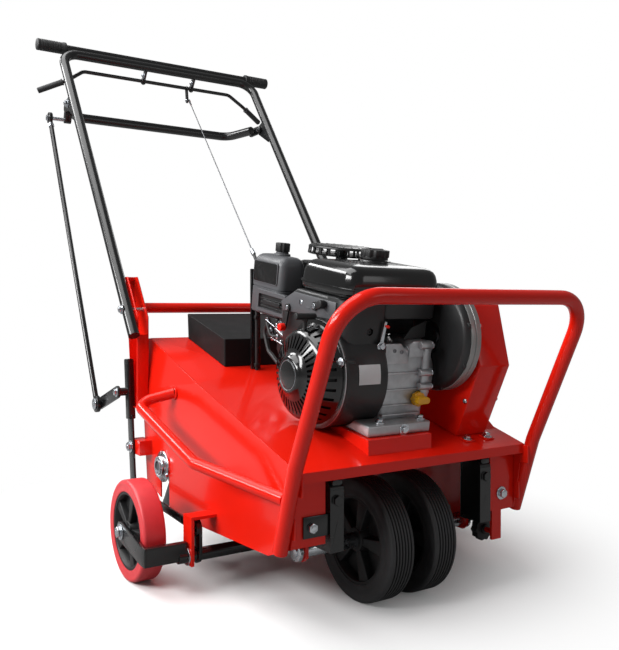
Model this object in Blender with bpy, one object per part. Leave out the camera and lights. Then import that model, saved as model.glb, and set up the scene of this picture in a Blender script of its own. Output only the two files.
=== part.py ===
# Walk-behind lawn aerator: a welded housing over a tine reel, an engine with a belt and
# chain drive, two front wheels, two swing-down rear wheels, and a folded-tube handle.
# Metres, +Z up, the front of the machine at -Y, the operator behind at +Y.
# Right and left are the operator's, so right is -X and left is +X.

import math

import bpy
import bmesh
from mathutils import Matrix, Vector

# General
GAP = 0.0003            # clearance between two touching pieces
SHEET = 0.003           # housing sheet
TUBE_R = 0.0125         # 25 mm round tube
TUBE_WALL = 0.002
ROD_R = 0.005           # 10 mm rod
BOLT_R = 0.004          # M8 bolts
HEAD_R = 0.0075         # their heads
HEAD_H = 0.005

# Housing
HALF_W = 0.250          # outer face of the side plates
CHAIN_SET = 0.028       # chain inside the left side plate's outer face
CHAIN_X = HALF_W - CHAIN_SET
DECK_FRONT_Y = -0.537
DECK_FRONT_Z = 0.265
DECK_REAR_Y = 0.107
DECK_REAR_Z = 0.453
DECK_FLANGE = 0.017     # turned-down front edge
LEAN_START_Y = -0.163   # the rear upper corner of each side plate leans in from here
LEAN = 0.012
PANEL_Y = -0.513        # front panels beside the wheel opening
PANEL_BOTTOM_Z = 0.141
PANEL_INNER_X = 0.185
BEAM_DEPTH = 0.022      # front beam between the panels
KEEL_FRONT_Y = -0.441
KEEL_FRONT_Z = 0.113
KEEL_REAR_Y = -0.031
KEEL_REAR_Z = 0.093
HEEL_FRONT_Z = 0.116
HEEL_Y = 0.099
HEEL_Z = 0.138
REAR_TOP_Y = 0.138
REAR_TOP_Z = 0.448
REAR_PANEL_BOTTOM_Z = 0.300

# Tine reel
TINE_Y = 0.003
TINE_Z = 0.185
TINE_TIP_R = 0.140
TINE_R = 0.0085
TINE_BORE_R = 0.0055
TINE_PLATE_R = 0.066
TINE_PLATE_T = 0.008
TINES_PER_STAR = 5
SPOOLS = 3              # each carries two rings of tines
SPOOL_SET = 0.074       # middle of the first spool inside the right side plate's outer face
SPOOL_TO_CHAIN = 0.082
SPOOL_FIRST_X = -HALF_W + SPOOL_SET
SPOOL_PITCH = (CHAIN_X - SPOOL_TO_CHAIN - SPOOL_FIRST_X) / (SPOOLS - 1)
RING_PITCH = 0.078
SLEEVE_R = 0.021
SLEEVE_END = 0.014      # sleeve beyond each ring
REEL_SHAFT_R = 0.0125
BEARING_R = 0.033
BEARING_T = 0.014

# Front wheels
FRONT_WHEEL_Y = -0.436
FRONT_WHEEL_R = 0.110
FRONT_WHEEL_IN_X = 0.023
FRONT_WHEEL_OUT_X = 0.073
FRONT_RIM_R = 0.078
FRONT_AXLE_R = 0.010
FORK_IN_X = 0.153
FORK_OUT_X = 0.180
FORK_FRONT_Y = -0.520
FORK_REAR_Y = -0.468
FORK_BOTTOM_Z = 0.125
FORK_CLEAR = 0.010      # fork top below the front beam
KNOB_R = 0.022
KNOB_T = 0.016
KNOB_X = 0.203
KNOB_DROP = 0.043        # knob axis below the front panel
KNOB_SET = 0.030        # knob face behind the front panel
BRACKET_T = 0.006       # red plates that carry the axle
BRACKET_FRONT_Y = -0.500
BRACKET_REAR_Y = -0.410
AXLE_EYE = 0.020

# Rear wheels and their swinging carriage
REAR_WHEEL_Y = -0.117
REAR_WHEEL_R = 0.096
HANGER_SET = 0.048      # red hanger bracket outside the side plate
HANGER_X = HALF_W + HANGER_SET
REAR_WHEEL_SET = 0.034  # wheel outside the hanger
REAR_WHEEL_W = 0.044
REAR_WHEEL_IN_X = HANGER_X + REAR_WHEEL_SET
REAR_WHEEL_OUT_X = REAR_WHEEL_IN_X + REAR_WHEEL_W
REAR_RIM_R = 0.074
REAR_STUB_R = 0.008
ROCKER_Y = -0.233
ROCKER_Z = 0.066
ROCKER_R = 0.012
ROCKER_ARM = 0.050      # pin above the rocker axis
HANGER_W = 0.036
ARM_T = 0.006
ARM_CLEAR = 0.005       # outer wheel arm outside the wheel
ARM_X = REAR_WHEEL_OUT_X + ARM_CLEAR + ARM_T / 2
HANGER_T = 0.006

# Lift linkage, right side
LINK_T = 0.005
LEVER_SET = 0.0305      # plane of the lift lever outside the side plate
LINK_GAP = 0.001
LEVER_X = HALF_W + LEVER_SET
LINK_X = LEVER_X + LINK_T + LINK_GAP
LEVER_Y = 0.110
LEVER_Z = 0.215
LEVER_TOP_Y = 0.126
LEVER_TOP_Z = 0.395
LEVER_ARM_Y = 0.242
LEVER_ARM_Z = 0.297
LEVER_FOOT_Y = 0.100
LEVER_FOOT_Z = 0.130
PIN_R = 0.005
OPEN_EYE_R = 0.0115     # eye of an open pivot, with clearance round its pin
OPEN_EYE_RIM = 0.008    # the rod's open eye round its bore
LIFT_ROD_R = 0.006

# Handle
HANDLE_SET = 0.040      # handle tube outside the side plate
HANDLE_X = HALF_W + HANDLE_SET
HANDLE_TOP_Y = 0.608
HANDLE_TOP_Z = 1.211
HANDLE_FOOT_Y = 0.067
HANDLE_FOOT_Z = 0.460
HANDLE_BEND = 0.045
HANDLE_BOLT_Z = 0.517
CROSS_Y = 0.132
CROSS_R = 0.0115
GRIP_BAR_R = 0.011
GRIP_BAR_X = HANDLE_X + 0.060
GRIP_IN_X = HANDLE_X - 0.015
GRIP_R = 0.0155
CLUTCH_Y = HANDLE_TOP_Y + 0.024
CLUTCH_Z = HANDLE_TOP_Z - 0.035
CLUTCH_BAR_X = HANDLE_X - 0.065
CLUTCH_ELBOW_X = HANDLE_X - 0.020
CLUTCH_ELBOW_Y = CLUTCH_Y - 0.010
CLUTCH_ELBOW_Z = CLUTCH_Z - 0.033
CLUTCH_TIP_X = HANDLE_X + 0.050
CLUTCH_TIP_Y = CLUTCH_Y + 0.020
CLUTCH_TIP_Z = CLUTCH_Z - 0.064
CLUTCH_BRACKET_X = (-0.050, 0.100)
CLUTCH_ARM_X = 0.085
CLUTCH_ARM_Y = CLUTCH_Y - 0.005
CLUTCH_ARM_Z = CLUTCH_Z - 0.038
CABLE_FOOT_X = -0.078
CABLE_FOOT_Y = -0.073
CABLE_FOOT_Z = 0.644
WIRE_R = 0.0015
SHEATH_R = 0.0035
BAIL_Y = HANDLE_TOP_Y - 0.061
BAIL_Z = HANDLE_TOP_Z - 0.151
BAIL_BAR_Y = BAIL_Y + 0.120
BAIL_BAR_Z = BAIL_Z - 0.005
BAIL_ARM_X = HANDLE_X - 0.020
BAIL_BAR_X = BAIL_ARM_X - 0.030
ROD_TOP_Y = BAIL_Y + 0.087
ROD_TOP_Z = BAIL_Z - 0.024
LIFT_ROD_X = HANDLE_X + 0.026

# Front guard hoop and side guards
HOOP_TOP_X = HALF_W + 0.012
HOOP_TOP_Y = -0.667
HOOP_TOP_Z = 0.538
HOOP_KINK_Y = -0.546
HOOP_KINK_Z = 0.274
HOOP_FOOT_Y = -0.501
HOOP_FOOT_Z = 0.136
HOOP_BEND = 0.070
SIDE_GUARD_R = 0.011
SIDE_GUARD_X = HALF_W + 0.068

# Engine, in a frame on the crank axis that tilts forward with its riser
BELT_TO_CHAIN = 0.057
BELT_X = CHAIN_X - BELT_TO_CHAIN
ENGINE_BELT_X = 0.165   # the belt's plane in the engine's own frame
ENGINE_X = BELT_X - ENGINE_BELT_X
CRANK_Y = -0.403
CRANK_Z = 0.405
ENGINE_TILT = math.radians(9)
BASE_B = -0.088         # underside of the engine's foot below the crank axis
BASE_FRONT = -0.112
BASE_REAR = 0.062
FOOT_T = 0.020
CASE_IN_X = -0.040
CASE_OUT_X = 0.0865
HOUSING_IN_X = -0.0450
HOUSING_OUT_X = -0.132
HOUSING_R = 0.096
RECOIL_X = -0.190
RECOIL_R = 0.082
RECOIL_GRIP_X = -0.160
CRANK_R = 0.0125
FLYWHEEL_R = 0.080
HEAD_END = 0.150
TANK_FRONT = -0.068
TANK_REAR = 0.106
TANK_RIGHT_X = -0.120
TANK_LEFT_X = 0.083
TANK_BOTTOM = 0.140
TANK_TOP = 0.198
GEAR_A = -0.040         # reduction gear case axis from the crank axis
GEAR_B = 0.069
GEAR_R = 0.100
GEAR_OUT_X = 0.122
GEAR_WALL = 0.003
OUTPUT_R = 0.0125
PINION_R = 0.0140
GEAR_MESH = 0.001      # clearance between the two gears

LEVER_POSTS = ((0.020, HOUSING_R + 0.021), (0.110, HOUSING_R + 0.004))

# Drive
BELT_W = 0.013
DRIVE_PULLEY_R = 0.045
JACK_Y = -0.200
JACK_Z = 0.285
JACK_PULLEY_R = 0.062
JACK_R = 0.010
JACK_SPROCKET_R = 0.022
REEL_SPROCKET_R = 0.060
COVER_IN_X = BELT_X - 0.037
COVER_OUT_X = BELT_X + 0.039
BELT_T = 0.008
CHAIN_W = 0.006
IDLER_R = 0.022
IDLER_PLACE = 0.72      # share of the way from the drive pulley to the jackshaft
IDLER_REST = 0.010      # idler to belt when the clutch is off
IDLER_ARM = 0.052

# Ballast box on the rear of the deck
BOX_RIGHT_X = -0.150
BOX_LEFT_X = 0.150
BOX_FRONT_Y = -0.085
BOX_REAR_Y = 0.100
BOX_WALL = 0.004

PAINT = {
    "red_paint": ((0.78, 0.045, 0.03), 0.28, 0.0),
    "black_paint": ((0.02, 0.02, 0.022), 0.35, 0.0),
    "black_plastic": ((0.035, 0.036, 0.038), 0.5, 0.0),
    "gloss_plastic": ((0.012, 0.012, 0.013), 0.22, 0.0),
    "grey_plastic": ((0.11, 0.115, 0.12), 0.5, 0.0),
    "cast_aluminium": ((0.42, 0.43, 0.44), 0.45, 0.9),
    "zinc": ((0.62, 0.63, 0.65), 0.3, 1.0),
    "steel": ((0.3, 0.3, 0.31), 0.4, 1.0),
    "rubber": ((0.025, 0.025, 0.026), 0.75, 0.0),
    "red_tyre": ((0.62, 0.06, 0.07), 0.5, 0.0),
    "yellow_plastic": ((0.9, 0.62, 0.02), 0.4, 0.0),
}

RIGHT = -1
LEFT = 1
WHEEL_STEPS = 24


def clear_scene():
    for obj in list(bpy.data.objects):
        bpy.data.objects.remove(obj, do_unlink=True)


def material(name):
    found = bpy.data.materials.get(name)
    if found:
        return found
    colour, roughness, metallic = PAINT[name]
    made = bpy.data.materials.new(name)
    made.use_nodes = True
    shader = made.node_tree.nodes["Principled BSDF"]
    shader.inputs["Base Color"].default_value = (*colour, 1.0)
    shader.inputs["Roughness"].default_value = roughness
    shader.inputs["Metallic"].default_value = metallic
    made.diffuse_color = (*colour, 1.0)
    return made


def new_object(name, mesh):
    obj = bpy.data.objects.new(name, mesh)
    bpy.context.scene.collection.objects.link(obj)
    return obj


def from_bmesh(name, bm):
    bmesh.ops.recalc_face_normals(bm, faces=bm.faces)
    mesh = bpy.data.meshes.new(name)
    bm.to_mesh(mesh)
    bm.free()
    return new_object(name, mesh)


def finish(obj, paint, pivot=None, parent=None, smooth=False):
    """Gives the piece its material, and its origin on pivot when it moves."""
    obj.data.materials.clear()
    obj.data.materials.append(material(paint))
    if smooth:
        obj.data.shade_smooth()
        obj.data.set_sharp_from_angle(angle=math.radians(40))
    if pivot is not None:
        obj.data.transform(Matrix.Translation(-Vector(pivot)))
        obj.location = pivot
    if parent is not None:
        obj.parent = parent
    return obj


def box(name, low, high):
    bm = bmesh.new()
    bmesh.ops.create_cube(bm, size=1.0)
    for vert in bm.verts:
        vert.co = Vector([low[i] + (vert.co[i] + 0.5) * (high[i] - low[i]) for i in range(3)])
    return from_bmesh(name, bm)


def plate(name, outline, low, high, axis="X"):
    """Extrudes an outline given in the plane across the axis, from low to high."""
    order = {"X": (2, 0, 1), "Y": (0, 2, 1), "Z": (0, 1, 2)}[axis]
    bm = bmesh.new()
    verts = []
    for first, second in outline:
        point = (first, second, low)
        verts.append(bm.verts.new([point[order[i]] for i in range(3)]))
    face = bm.faces.new(verts)
    step = Vector([(0, 0, high - low)[order[i]] for i in range(3)])
    grown = bmesh.ops.extrude_face_region(bm, geom=[face])
    moved = [item for item in grown["geom"] if isinstance(item, bmesh.types.BMVert)]
    bmesh.ops.translate(bm, verts=moved, vec=step)
    return from_bmesh(name, bm)


def turned(name, profile, centre, axis="X", steps=24):
    """Spins a closed profile of (along, radius) points round an axis through centre."""
    along = {"X": Vector((1, 0, 0)), "Y": Vector((0, 1, 0)), "Z": Vector((0, 0, 1))}[axis]
    across = {"X": Vector((0, 0, 1)), "Y": Vector((0, 0, 1)), "Z": Vector((1, 0, 0))}[axis]
    bm = bmesh.new()
    verts = [bm.verts.new(along * u + across * r) for u, r in profile]
    edges = [bm.edges.new((verts[i], verts[i + 1])) for i in range(len(verts) - 1)]
    if profile[0][1] > 1e-6 or profile[-1][1] > 1e-6:
        edges.append(bm.edges.new((verts[-1], verts[0])))
    bmesh.ops.spin(bm, geom=verts + edges, cent=(0, 0, 0), axis=along, dvec=(0, 0, 0),
                   angle=2 * math.pi, steps=steps, use_merge=True)
    bmesh.ops.remove_doubles(bm, verts=bm.verts, dist=1e-6)
    bmesh.ops.translate(bm, verts=bm.verts, vec=centre)
    return from_bmesh(name, bm)


def disc(name, radius, low, high, centre, axis="X", steps=24):
    """A plain round bar or disc from low to high along the axis."""
    return turned(name, [(low, 0), (low, radius), (high, radius), (high, 0)], centre, axis, steps)


def ring(name, outer, inner, low, high, centre, axis="X", steps=24):
    profile = [(low, inner), (low, outer), (high, outer), (high, inner)]
    return turned(name, profile, centre, axis, steps)


def rounded(points, bend, steps=4):
    """Replaces each inner corner of a route by an arc of the given radius."""
    points = [Vector(p) for p in points]
    route = [points[0]]
    for before, corner, after in zip(points, points[1:], points[2:]):
        back = (before - corner).normalized()
        ahead = (after - corner).normalized()
        turn = math.pi - back.angle(ahead)
        if turn < 1e-4:
            route.append(corner)
            continue
        reach = bend * math.tan(turn / 2)
        reach = min(reach, 0.45 * (before - corner).length, 0.45 * (after - corner).length)
        radius = reach / math.tan(turn / 2)
        centre = corner + (back + ahead).normalized() * (radius / math.cos(turn / 2))
        start = corner + back * reach - centre
        axis = start.cross(corner + ahead * reach - centre).normalized()
        for i in range(steps + 1):
            route.append(centre + Matrix.Rotation(turn * i / steps, 3, axis) @ start)
    route.append(points[-1])
    return route


def tube(name, points, radius, bend=0.0, resolution=3, steps=4):
    """A round bar along a route, with filled ends."""
    curve = bpy.data.curves.new(name, "CURVE")
    curve.dimensions = "3D"
    curve.bevel_depth = radius
    curve.bevel_resolution = resolution
    curve.use_fill_caps = True
    curve.render_resolution_u = 0
    route = rounded(points, bend, steps) if bend else [Vector(p) for p in points]
    spline = curve.splines.new("POLY")
    spline.points.add(len(route) - 1)
    for slot, co in zip(spline.points, route):
        slot.co = (*co, 1.0)
    temp = new_object(name + "_route", curve)
    graph = bpy.context.evaluated_depsgraph_get()
    mesh = bpy.data.meshes.new_from_object(temp.evaluated_get(graph))
    bpy.data.objects.remove(temp, do_unlink=True)
    bm = bmesh.new()
    bm.from_mesh(mesh)
    bmesh.ops.remove_doubles(bm, verts=bm.verts, dist=1e-6)
    bpy.data.meshes.remove(mesh)
    return from_bmesh(name, bm)


def combine(target, tool, operation):
    """Applies a Boolean of tool to target and removes the tool."""
    change = target.modifiers.new("change", "BOOLEAN")
    change.operation = operation
    change.solver = "EXACT"
    change.object = tool
    graph = bpy.context.evaluated_depsgraph_get()
    mesh = bpy.data.meshes.new_from_object(target.evaluated_get(graph))
    target.modifiers.clear()
    old = target.data
    target.data = mesh
    bpy.data.meshes.remove(old)
    bpy.data.objects.remove(tool, do_unlink=True)
    bm = bmesh.new()
    bm.from_mesh(target.data)
    bmesh.ops.remove_doubles(bm, verts=bm.verts, dist=2e-6)
    bmesh.ops.dissolve_degenerate(bm, edges=bm.edges, dist=1e-6)
    bm.to_mesh(target.data)
    bm.free()
    return target


def fuse(target, *tools):
    for tool in tools:
        combine(target, tool, "UNION")
    return target


def cut(target, *tools):
    for tool in tools:
        combine(target, tool, "DIFFERENCE")
    return target


def soften(obj, width, segments=2):
    """Rounds every edge of a solid, for pressed, moulded or cast pieces."""
    bm = bmesh.new()
    bm.from_mesh(obj.data)
    sharp = [e for e in bm.edges if e.calc_face_angle(0) > math.radians(25)]
    bmesh.ops.bevel(bm, geom=sharp, offset=width, affect="EDGES", segments=segments,
                    profile=0.5, material=-1, clamp_overlap=True)
    bm.to_mesh(obj.data)
    bm.free()
    return obj


def along(start, end, distance):
    """The point at a distance from start on the way to end, in the YZ plane."""
    dy, dz = end[0] - start[0], end[1] - start[1]
    length = math.hypot(dy, dz)
    return start[0] + dy * distance / length, start[1] + dz * distance / length


def strap(start, end, half, round_steps=4):
    """Outline of a flat bar with round ends between two points of the YZ plane."""
    angle = math.atan2(end[1] - start[1], end[0] - start[0])
    outline = []
    for centre, first in ((end, angle - math.pi / 2), (start, angle + math.pi / 2)):
        for i in range(round_steps + 1):
            turn = first + math.pi * i / round_steps
            outline.append((centre[0] + half * math.cos(turn), centre[1] + half * math.sin(turn)))
    return outline


def circle(y, z, radius, steps=16):
    return [(y + radius * math.cos(2 * math.pi * i / steps),
             z + radius * math.sin(2 * math.pi * i / steps)) for i in range(steps)]


def deck_z(y):
    return DECK_FRONT_Z + (y - DECK_FRONT_Y) * (DECK_REAR_Z - DECK_FRONT_Z) / (DECK_REAR_Y - DECK_FRONT_Y)


def deck_slope():
    return math.atan2(DECK_REAR_Z - DECK_FRONT_Z, DECK_REAR_Y - DECK_FRONT_Y)


def side_name(base, side):
    return base + ("_right" if side == RIGHT else "_left")


def sided(side, inner, outer):
    """Low and high X of a piece between two distances from the middle, on one side."""
    return (side * outer, side * inner) if side == RIGHT else (inner, outer)


def leg_y(z):
    """Where a handle leg's middle line is at a height."""
    rise = (HANDLE_TOP_Y - HANDLE_FOOT_Y) / (HANDLE_TOP_Z - HANDLE_FOOT_Z)
    return HANDLE_TOP_Y - (HANDLE_TOP_Z - z) * rise


def lean_in(y, z):
    """How far a side plate leans in at a point of its upper rear corner."""
    crease_start = (LEAN_START_Y, deck_z(LEAN_START_Y))
    crease_end = rear_edge(0.340)
    dy, dz = crease_end[0] - crease_start[0], crease_end[1] - crease_start[1]
    length = math.hypot(dy, dz)
    above = (dy * (z - crease_start[1]) - dz * (y - crease_start[0])) / length
    top = (dy * (DECK_REAR_Z - crease_start[1]) - dz * (DECK_REAR_Y - crease_start[0])) / length
    return LEAN * max(0.0, above) / top


def rear_edge(z):
    """Point of the side plate's rear edge at a height."""
    share = (z - HEEL_Z) / (REAR_TOP_Z - HEEL_Z)
    return HEEL_Y + (REAR_TOP_Y - HEEL_Y) * share, z


def housing_deck():
    """The deck with the front panels, rear panel and chain hump that are welded to it."""
    drop = SHEET / math.cos(deck_slope())
    front = DECK_FRONT_Y + SHEET
    outline = [(DECK_FRONT_Y, DECK_FRONT_Z - DECK_FLANGE), (DECK_FRONT_Y, DECK_FRONT_Z),
               (DECK_REAR_Y, DECK_REAR_Z), (DECK_REAR_Y, DECK_REAR_Z - drop),
               (front, deck_z(front) - drop), (front, DECK_FRONT_Z - DECK_FLANGE)]
    half = HALF_W - SHEET - GAP
    deck = plate("housing_deck", outline, -half, half)
    bm = bmesh.new()
    bm.from_mesh(deck.data)
    bmesh.ops.bisect_plane(bm, geom=bm.verts[:] + bm.edges[:] + bm.faces[:],
                           plane_co=(0, LEAN_START_Y, 0), plane_no=(0, 1, 0))
    for vert in bm.verts:
        vert.co.x -= math.copysign(lean_in(vert.co.y, deck_z(vert.co.y)), vert.co.x)
    bm.to_mesh(deck.data)
    bm.free()
    fuse(deck, front_panel(), rear_panel(), depth_tab(), depth_screw(), cable_anchor(), chain_hump())
    for side in (RIGHT, LEFT):
        fuse(deck, axle_bracket(side))
    fuse(deck, jackshaft_bearing(), idler_post(), idler_pin())
    x, y, _ = cable_corner()
    cut(deck, belt_slot())
    cut(deck, disc("cable_hole", SHEATH_R + 2 * GAP, deck_z(y) - 0.02, deck_z(y) + 0.02, (x, y, 0), "Z", 12))
    return finish(deck, "red_paint")


def belt_slot():
    low = (BELT_X - BELT_W / 2 - 0.006, JACK_Y - 0.190, deck_z(JACK_Y - 0.190) - 0.03)
    high = (BELT_X + BELT_W / 2 + 0.006, JACK_Y + 0.015, deck_z(JACK_Y + 0.015) + 0.03)
    return box("belt_slot", low, high)


def side_plate(side):
    """A side plate with the hanger of the wheel carriage, and on the right the lever's pivot."""
    name = side_name("side_plate", side)
    slot_front = TINE_Y - 0.030
    slot_rear = TINE_Y + 0.015
    slot_top = TINE_Z + REEL_SHAFT_R + 0.005
    slot_foot_front = KEEL_REAR_Z + (KEEL_FRONT_Z - KEEL_REAR_Z) * 0.01
    lower = [(DECK_FRONT_Y, DECK_FRONT_Z), (PANEL_Y, PANEL_BOTTOM_Z), (KEEL_FRONT_Y, KEEL_FRONT_Z),
             (slot_front, slot_foot_front), (slot_front, TINE_Z - 0.010), (TINE_Y - 0.015, slot_top),
             (slot_rear, slot_top), (slot_rear, HEEL_FRONT_Z), (HEEL_Y, HEEL_Z), rear_edge(0.340),
             (LEAN_START_Y, deck_z(LEAN_START_Y))]
    upper = [(LEAN_START_Y, deck_z(LEAN_START_Y)), rear_edge(0.340), (REAR_TOP_Y, REAR_TOP_Z),
             (DECK_REAR_Y, DECK_REAR_Z)]
    bm = bmesh.new()
    made = {}
    for outline in (lower, upper):
        verts = []
        for y, z in outline:
            key = (round(y, 6), round(z, 6))
            if key not in made:
                made[key] = bm.verts.new((HALF_W - lean_in(y, z), y, z))
            verts.append(made[key])
        bm.faces.new(verts)
    grown = bmesh.ops.extrude_face_region(bm, geom=bm.faces[:])
    moved = [item for item in grown["geom"] if isinstance(item, bmesh.types.BMVert)]
    bmesh.ops.translate(bm, verts=moved, vec=(-SHEET, 0, 0))
    if side == RIGHT:
        bmesh.ops.scale(bm, vec=(-1, 1, 1), verts=bm.verts)
    made_plate = from_bmesh(name, bm)
    fuse(made_plate, wheel_hanger(side))
    if side == RIGHT:
        fuse(made_plate, lever_pivot())
    return finish(made_plate, "red_paint")


def beam_z():
    return deck_z(PANEL_Y) - BEAM_DEPTH


def front_panel():
    """The panels beside the wheel opening, with the beam that joins them under the deck."""
    back = PANEL_Y + SHEET
    top = deck_z(PANEL_Y) - 0.0012
    half = HALF_W - SHEET - 2 * GAP
    outline = [(-half, PANEL_BOTTOM_Z), (-PANEL_INNER_X, PANEL_BOTTOM_Z), (-PANEL_INNER_X, beam_z()),
               (PANEL_INNER_X, beam_z()), (PANEL_INNER_X, PANEL_BOTTOM_Z), (half, PANEL_BOTTOM_Z),
               (half, top), (-half, top)]
    return plate("front_panel", outline, PANEL_Y, back, "Y")


def rear_panel():
    """The sheet behind the tines, between the side plates below the deck's rear edge."""
    low_y = rear_edge(REAR_PANEL_BOTTOM_Z)[0] - 0.016
    top_y = DECK_REAR_Y - 0.008
    top_z = deck_z(top_y - SHEET) - 0.001
    bm = bmesh.new()
    rows = []
    for y, z in ((low_y, REAR_PANEL_BOTTOM_Z), (rear_edge(0.340)[0] - 0.022, 0.340), (top_y, top_z)):
        half = HALF_W - SHEET - 3 * GAP - lean_in(y, z)
        rows.append([bm.verts.new((-half, y, z)), bm.verts.new((half, y, z))])
    for lower, upper in zip(rows, rows[1:]):
        bm.faces.new((lower[0], lower[1], upper[1], upper[0]))
    grown = bmesh.ops.extrude_face_region(bm, geom=bm.faces[:])
    moved = [item for item in grown["geom"] if isinstance(item, bmesh.types.BMVert)]
    bmesh.ops.translate(bm, verts=moved, vec=(0, -SHEET, 0))
    return from_bmesh("rear_panel", bm)


def front_guard_hoop():
    """The red tube hoop in front of the engine, down to the side plates' front edges."""
    side_x = HALF_W + TUBE_R + GAP
    right = [Vector(p) for p in ((-side_x, HOOP_FOOT_Y, HOOP_FOOT_Z), (-side_x, HOOP_KINK_Y, HOOP_KINK_Z),
                                 (-HOOP_TOP_X, HOOP_TOP_Y, HOOP_TOP_Z))]
    left = [Vector((-p.x, p.y, p.z)) for p in reversed(right)]
    route = rounded(right + left, HOOP_BEND, 5)
    return finish(tube("front_guard_hoop", route, TUBE_R), "red_paint", smooth=True)


def side_guard(side):
    wall = HALF_W + GAP
    route = [(wall, -0.060, 0.347), (SIDE_GUARD_X, -0.018, 0.326), (SIDE_GUARD_X, -0.300, 0.250),
             (wall, -0.493, 0.217)]
    route = rounded([(side * x, y, z) for x, y, z in route], 0.035, 4)
    bar = tube(side_name("side_guard", side), route, SIDE_GUARD_R)
    low, high = sided(side, HALF_W - 0.05, wall)
    cut(bar, box("side_face", (low, -0.6, 0.1), (high, 0.2, 0.5)))
    return finish(bar, "red_paint", smooth=True)


def handle_bracket(side):
    """A channel welded up the side plate's rear edge, which carries a handle leg."""
    inner = HALF_W + GAP
    outer = HANDLE_X - TUBE_R - GAP
    foot_z = 0.300
    edge = rear_edge(foot_z)[0]
    outline = [(edge - 0.034, foot_z), (edge, foot_z), (REAR_TOP_Y, REAR_TOP_Z),
               (leg_y(0.580) + 0.018, 0.578), (leg_y(0.580) + 0.010, 0.590),
               (leg_y(0.580) - 0.008, 0.590), (leg_y(0.500) - 0.014, 0.500),
               (leg_y(0.500) - 0.014, 0.455), (edge - 0.034, 0.340)]
    low, high = sided(side, inner, outer)
    channel = plate(side_name("handle_bracket", side), outline, low, high)
    hollow = inset(outline, SHEET)
    low, high = sided(side, inner + SHEET, outer + 0.02)
    cut(channel, plate("hollow", hollow, low, high))
    low, high = sided(side, inner + 0.001, HANDLE_X + TUBE_R + GAP + HEAD_H + 0.004)
    bolt = disc("bolt", BOLT_R, low, high, (0, leg_y(HANDLE_BOLT_Z), HANDLE_BOLT_Z), "X", 12)
    low, high = sided(side, HANDLE_X + TUBE_R + GAP, HANDLE_X + TUBE_R + GAP + HEAD_H)
    nut = disc("nut", HEAD_R, low, high, (0, leg_y(HANDLE_BOLT_Z), HANDLE_BOLT_Z), "X", 6)
    return fuse(channel, bolt, nut)


def inset(outline, wall):
    """Moves each side of a closed outline inwards by a wall thickness."""
    area = sum(a[0] * b[1] - b[0] * a[1] for a, b in zip(outline, outline[1:] + outline[:1]))
    points = outline if area > 0 else list(reversed(outline))
    count = len(points)
    moved = []
    for i in range(count):
        before, here, after = points[i - 1], points[i], points[(i + 1) % count]
        first = Vector((here[0] - before[0], here[1] - before[1])).normalized()
        second = Vector((after[0] - here[0], after[1] - here[1])).normalized()
        normal = Vector((-first.y, first.x)) + Vector((-second.y, second.x))
        normal.normalize()
        share = wall / max(0.3, normal.dot(Vector((-first.y, first.x))))
        moved.append((here[0] + normal.x * share, here[1] + normal.y * share))
    return moved


def handle_mount():
    """The two handle brackets with the tube that is welded between them."""
    mount = handle_bracket(RIGHT)
    mount.name = "handle_mount"
    reach = HALF_W + GAP + 0.001
    z = HANDLE_BOLT_Z + 0.003
    route = [(-reach, CROSS_Y, z), (reach, CROSS_Y, z)]
    fuse(mount, tube("cross_tube", route, CROSS_R), handle_bracket(LEFT))
    return finish(mount, "red_paint", smooth=True)


def handle_frame():
    """The U-shaped handle tube, with its grip bar, the lift bail's ears and the clutch straps."""
    right = [(-HANDLE_X, HANDLE_FOOT_Y, HANDLE_FOOT_Z), (-HANDLE_X, HANDLE_TOP_Y, HANDLE_TOP_Z)]
    left = [(-x, y, z) for x, y, z in reversed(right)]
    route = rounded(right + left, HANDLE_BEND, 4)
    frame = tube("handle_frame", route, TUBE_R)
    down = (route[0] - route[1]).normalized() * 0.01
    bore = [route[0] + down] + route[1:-1] + [route[-1] + down]
    cut(frame, tube("bore", bore, TUBE_R - TUBE_WALL, resolution=1))
    y, z = grip_bar_centre()
    fuse(frame, tube("grip_bar", [(-GRIP_BAR_X, y, z), (GRIP_BAR_X, y, z)], GRIP_BAR_R))
    leg = leg_y(BAIL_Z)
    for side in (RIGHT, LEFT):
        low, high = sided(side, HANDLE_X - 0.0025, HANDLE_X + 0.0025)
        ear = [(leg - 0.004, BAIL_Z - 0.045), (BAIL_Y + 0.004, BAIL_Z - 0.014),
               (BAIL_Y + 0.014, BAIL_Z - 0.004), (BAIL_Y + 0.014, BAIL_Z + 0.008),
               (BAIL_Y + 0.004, BAIL_Z + 0.014), (leg + 0.010, BAIL_Z + 0.034)]
        fuse(frame, plate("ear", ear, low, high))
        low, high = sided(side, HANDLE_X - 0.02, HANDLE_X + 0.02)
        cut(frame, plate("pin_hole", circle(BAIL_Y, BAIL_Z, PIN_R + GAP, 12), low, high))
        cut(frame, plate("bolt_hole", circle(leg_y(HANDLE_BOLT_Z), HANDLE_BOLT_Z, BOLT_R + GAP, 10),
                         low, high))
    for x in CLUTCH_BRACKET_X:
        top = (HANDLE_TOP_Y + 0.004, HANDLE_TOP_Z - TUBE_R + 0.004)
        strip = plate("strip", strap(top, (CLUTCH_Y, CLUTCH_Z), 0.010), x - 0.002, x + 0.002)
        cut(strip, disc("eye", ROD_R + GAP, x - 0.02, x + 0.02, (0, CLUTCH_Y, CLUTCH_Z), "X", 12))
        fuse(frame, strip)
    return finish(frame, "black_paint", smooth=True)


def grip_bar_centre():
    reach = TUBE_R + GRIP_BAR_R - 0.001
    turn = math.radians(46)
    return HANDLE_TOP_Y + reach * math.cos(turn), HANDLE_TOP_Z + reach * math.sin(turn)


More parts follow.
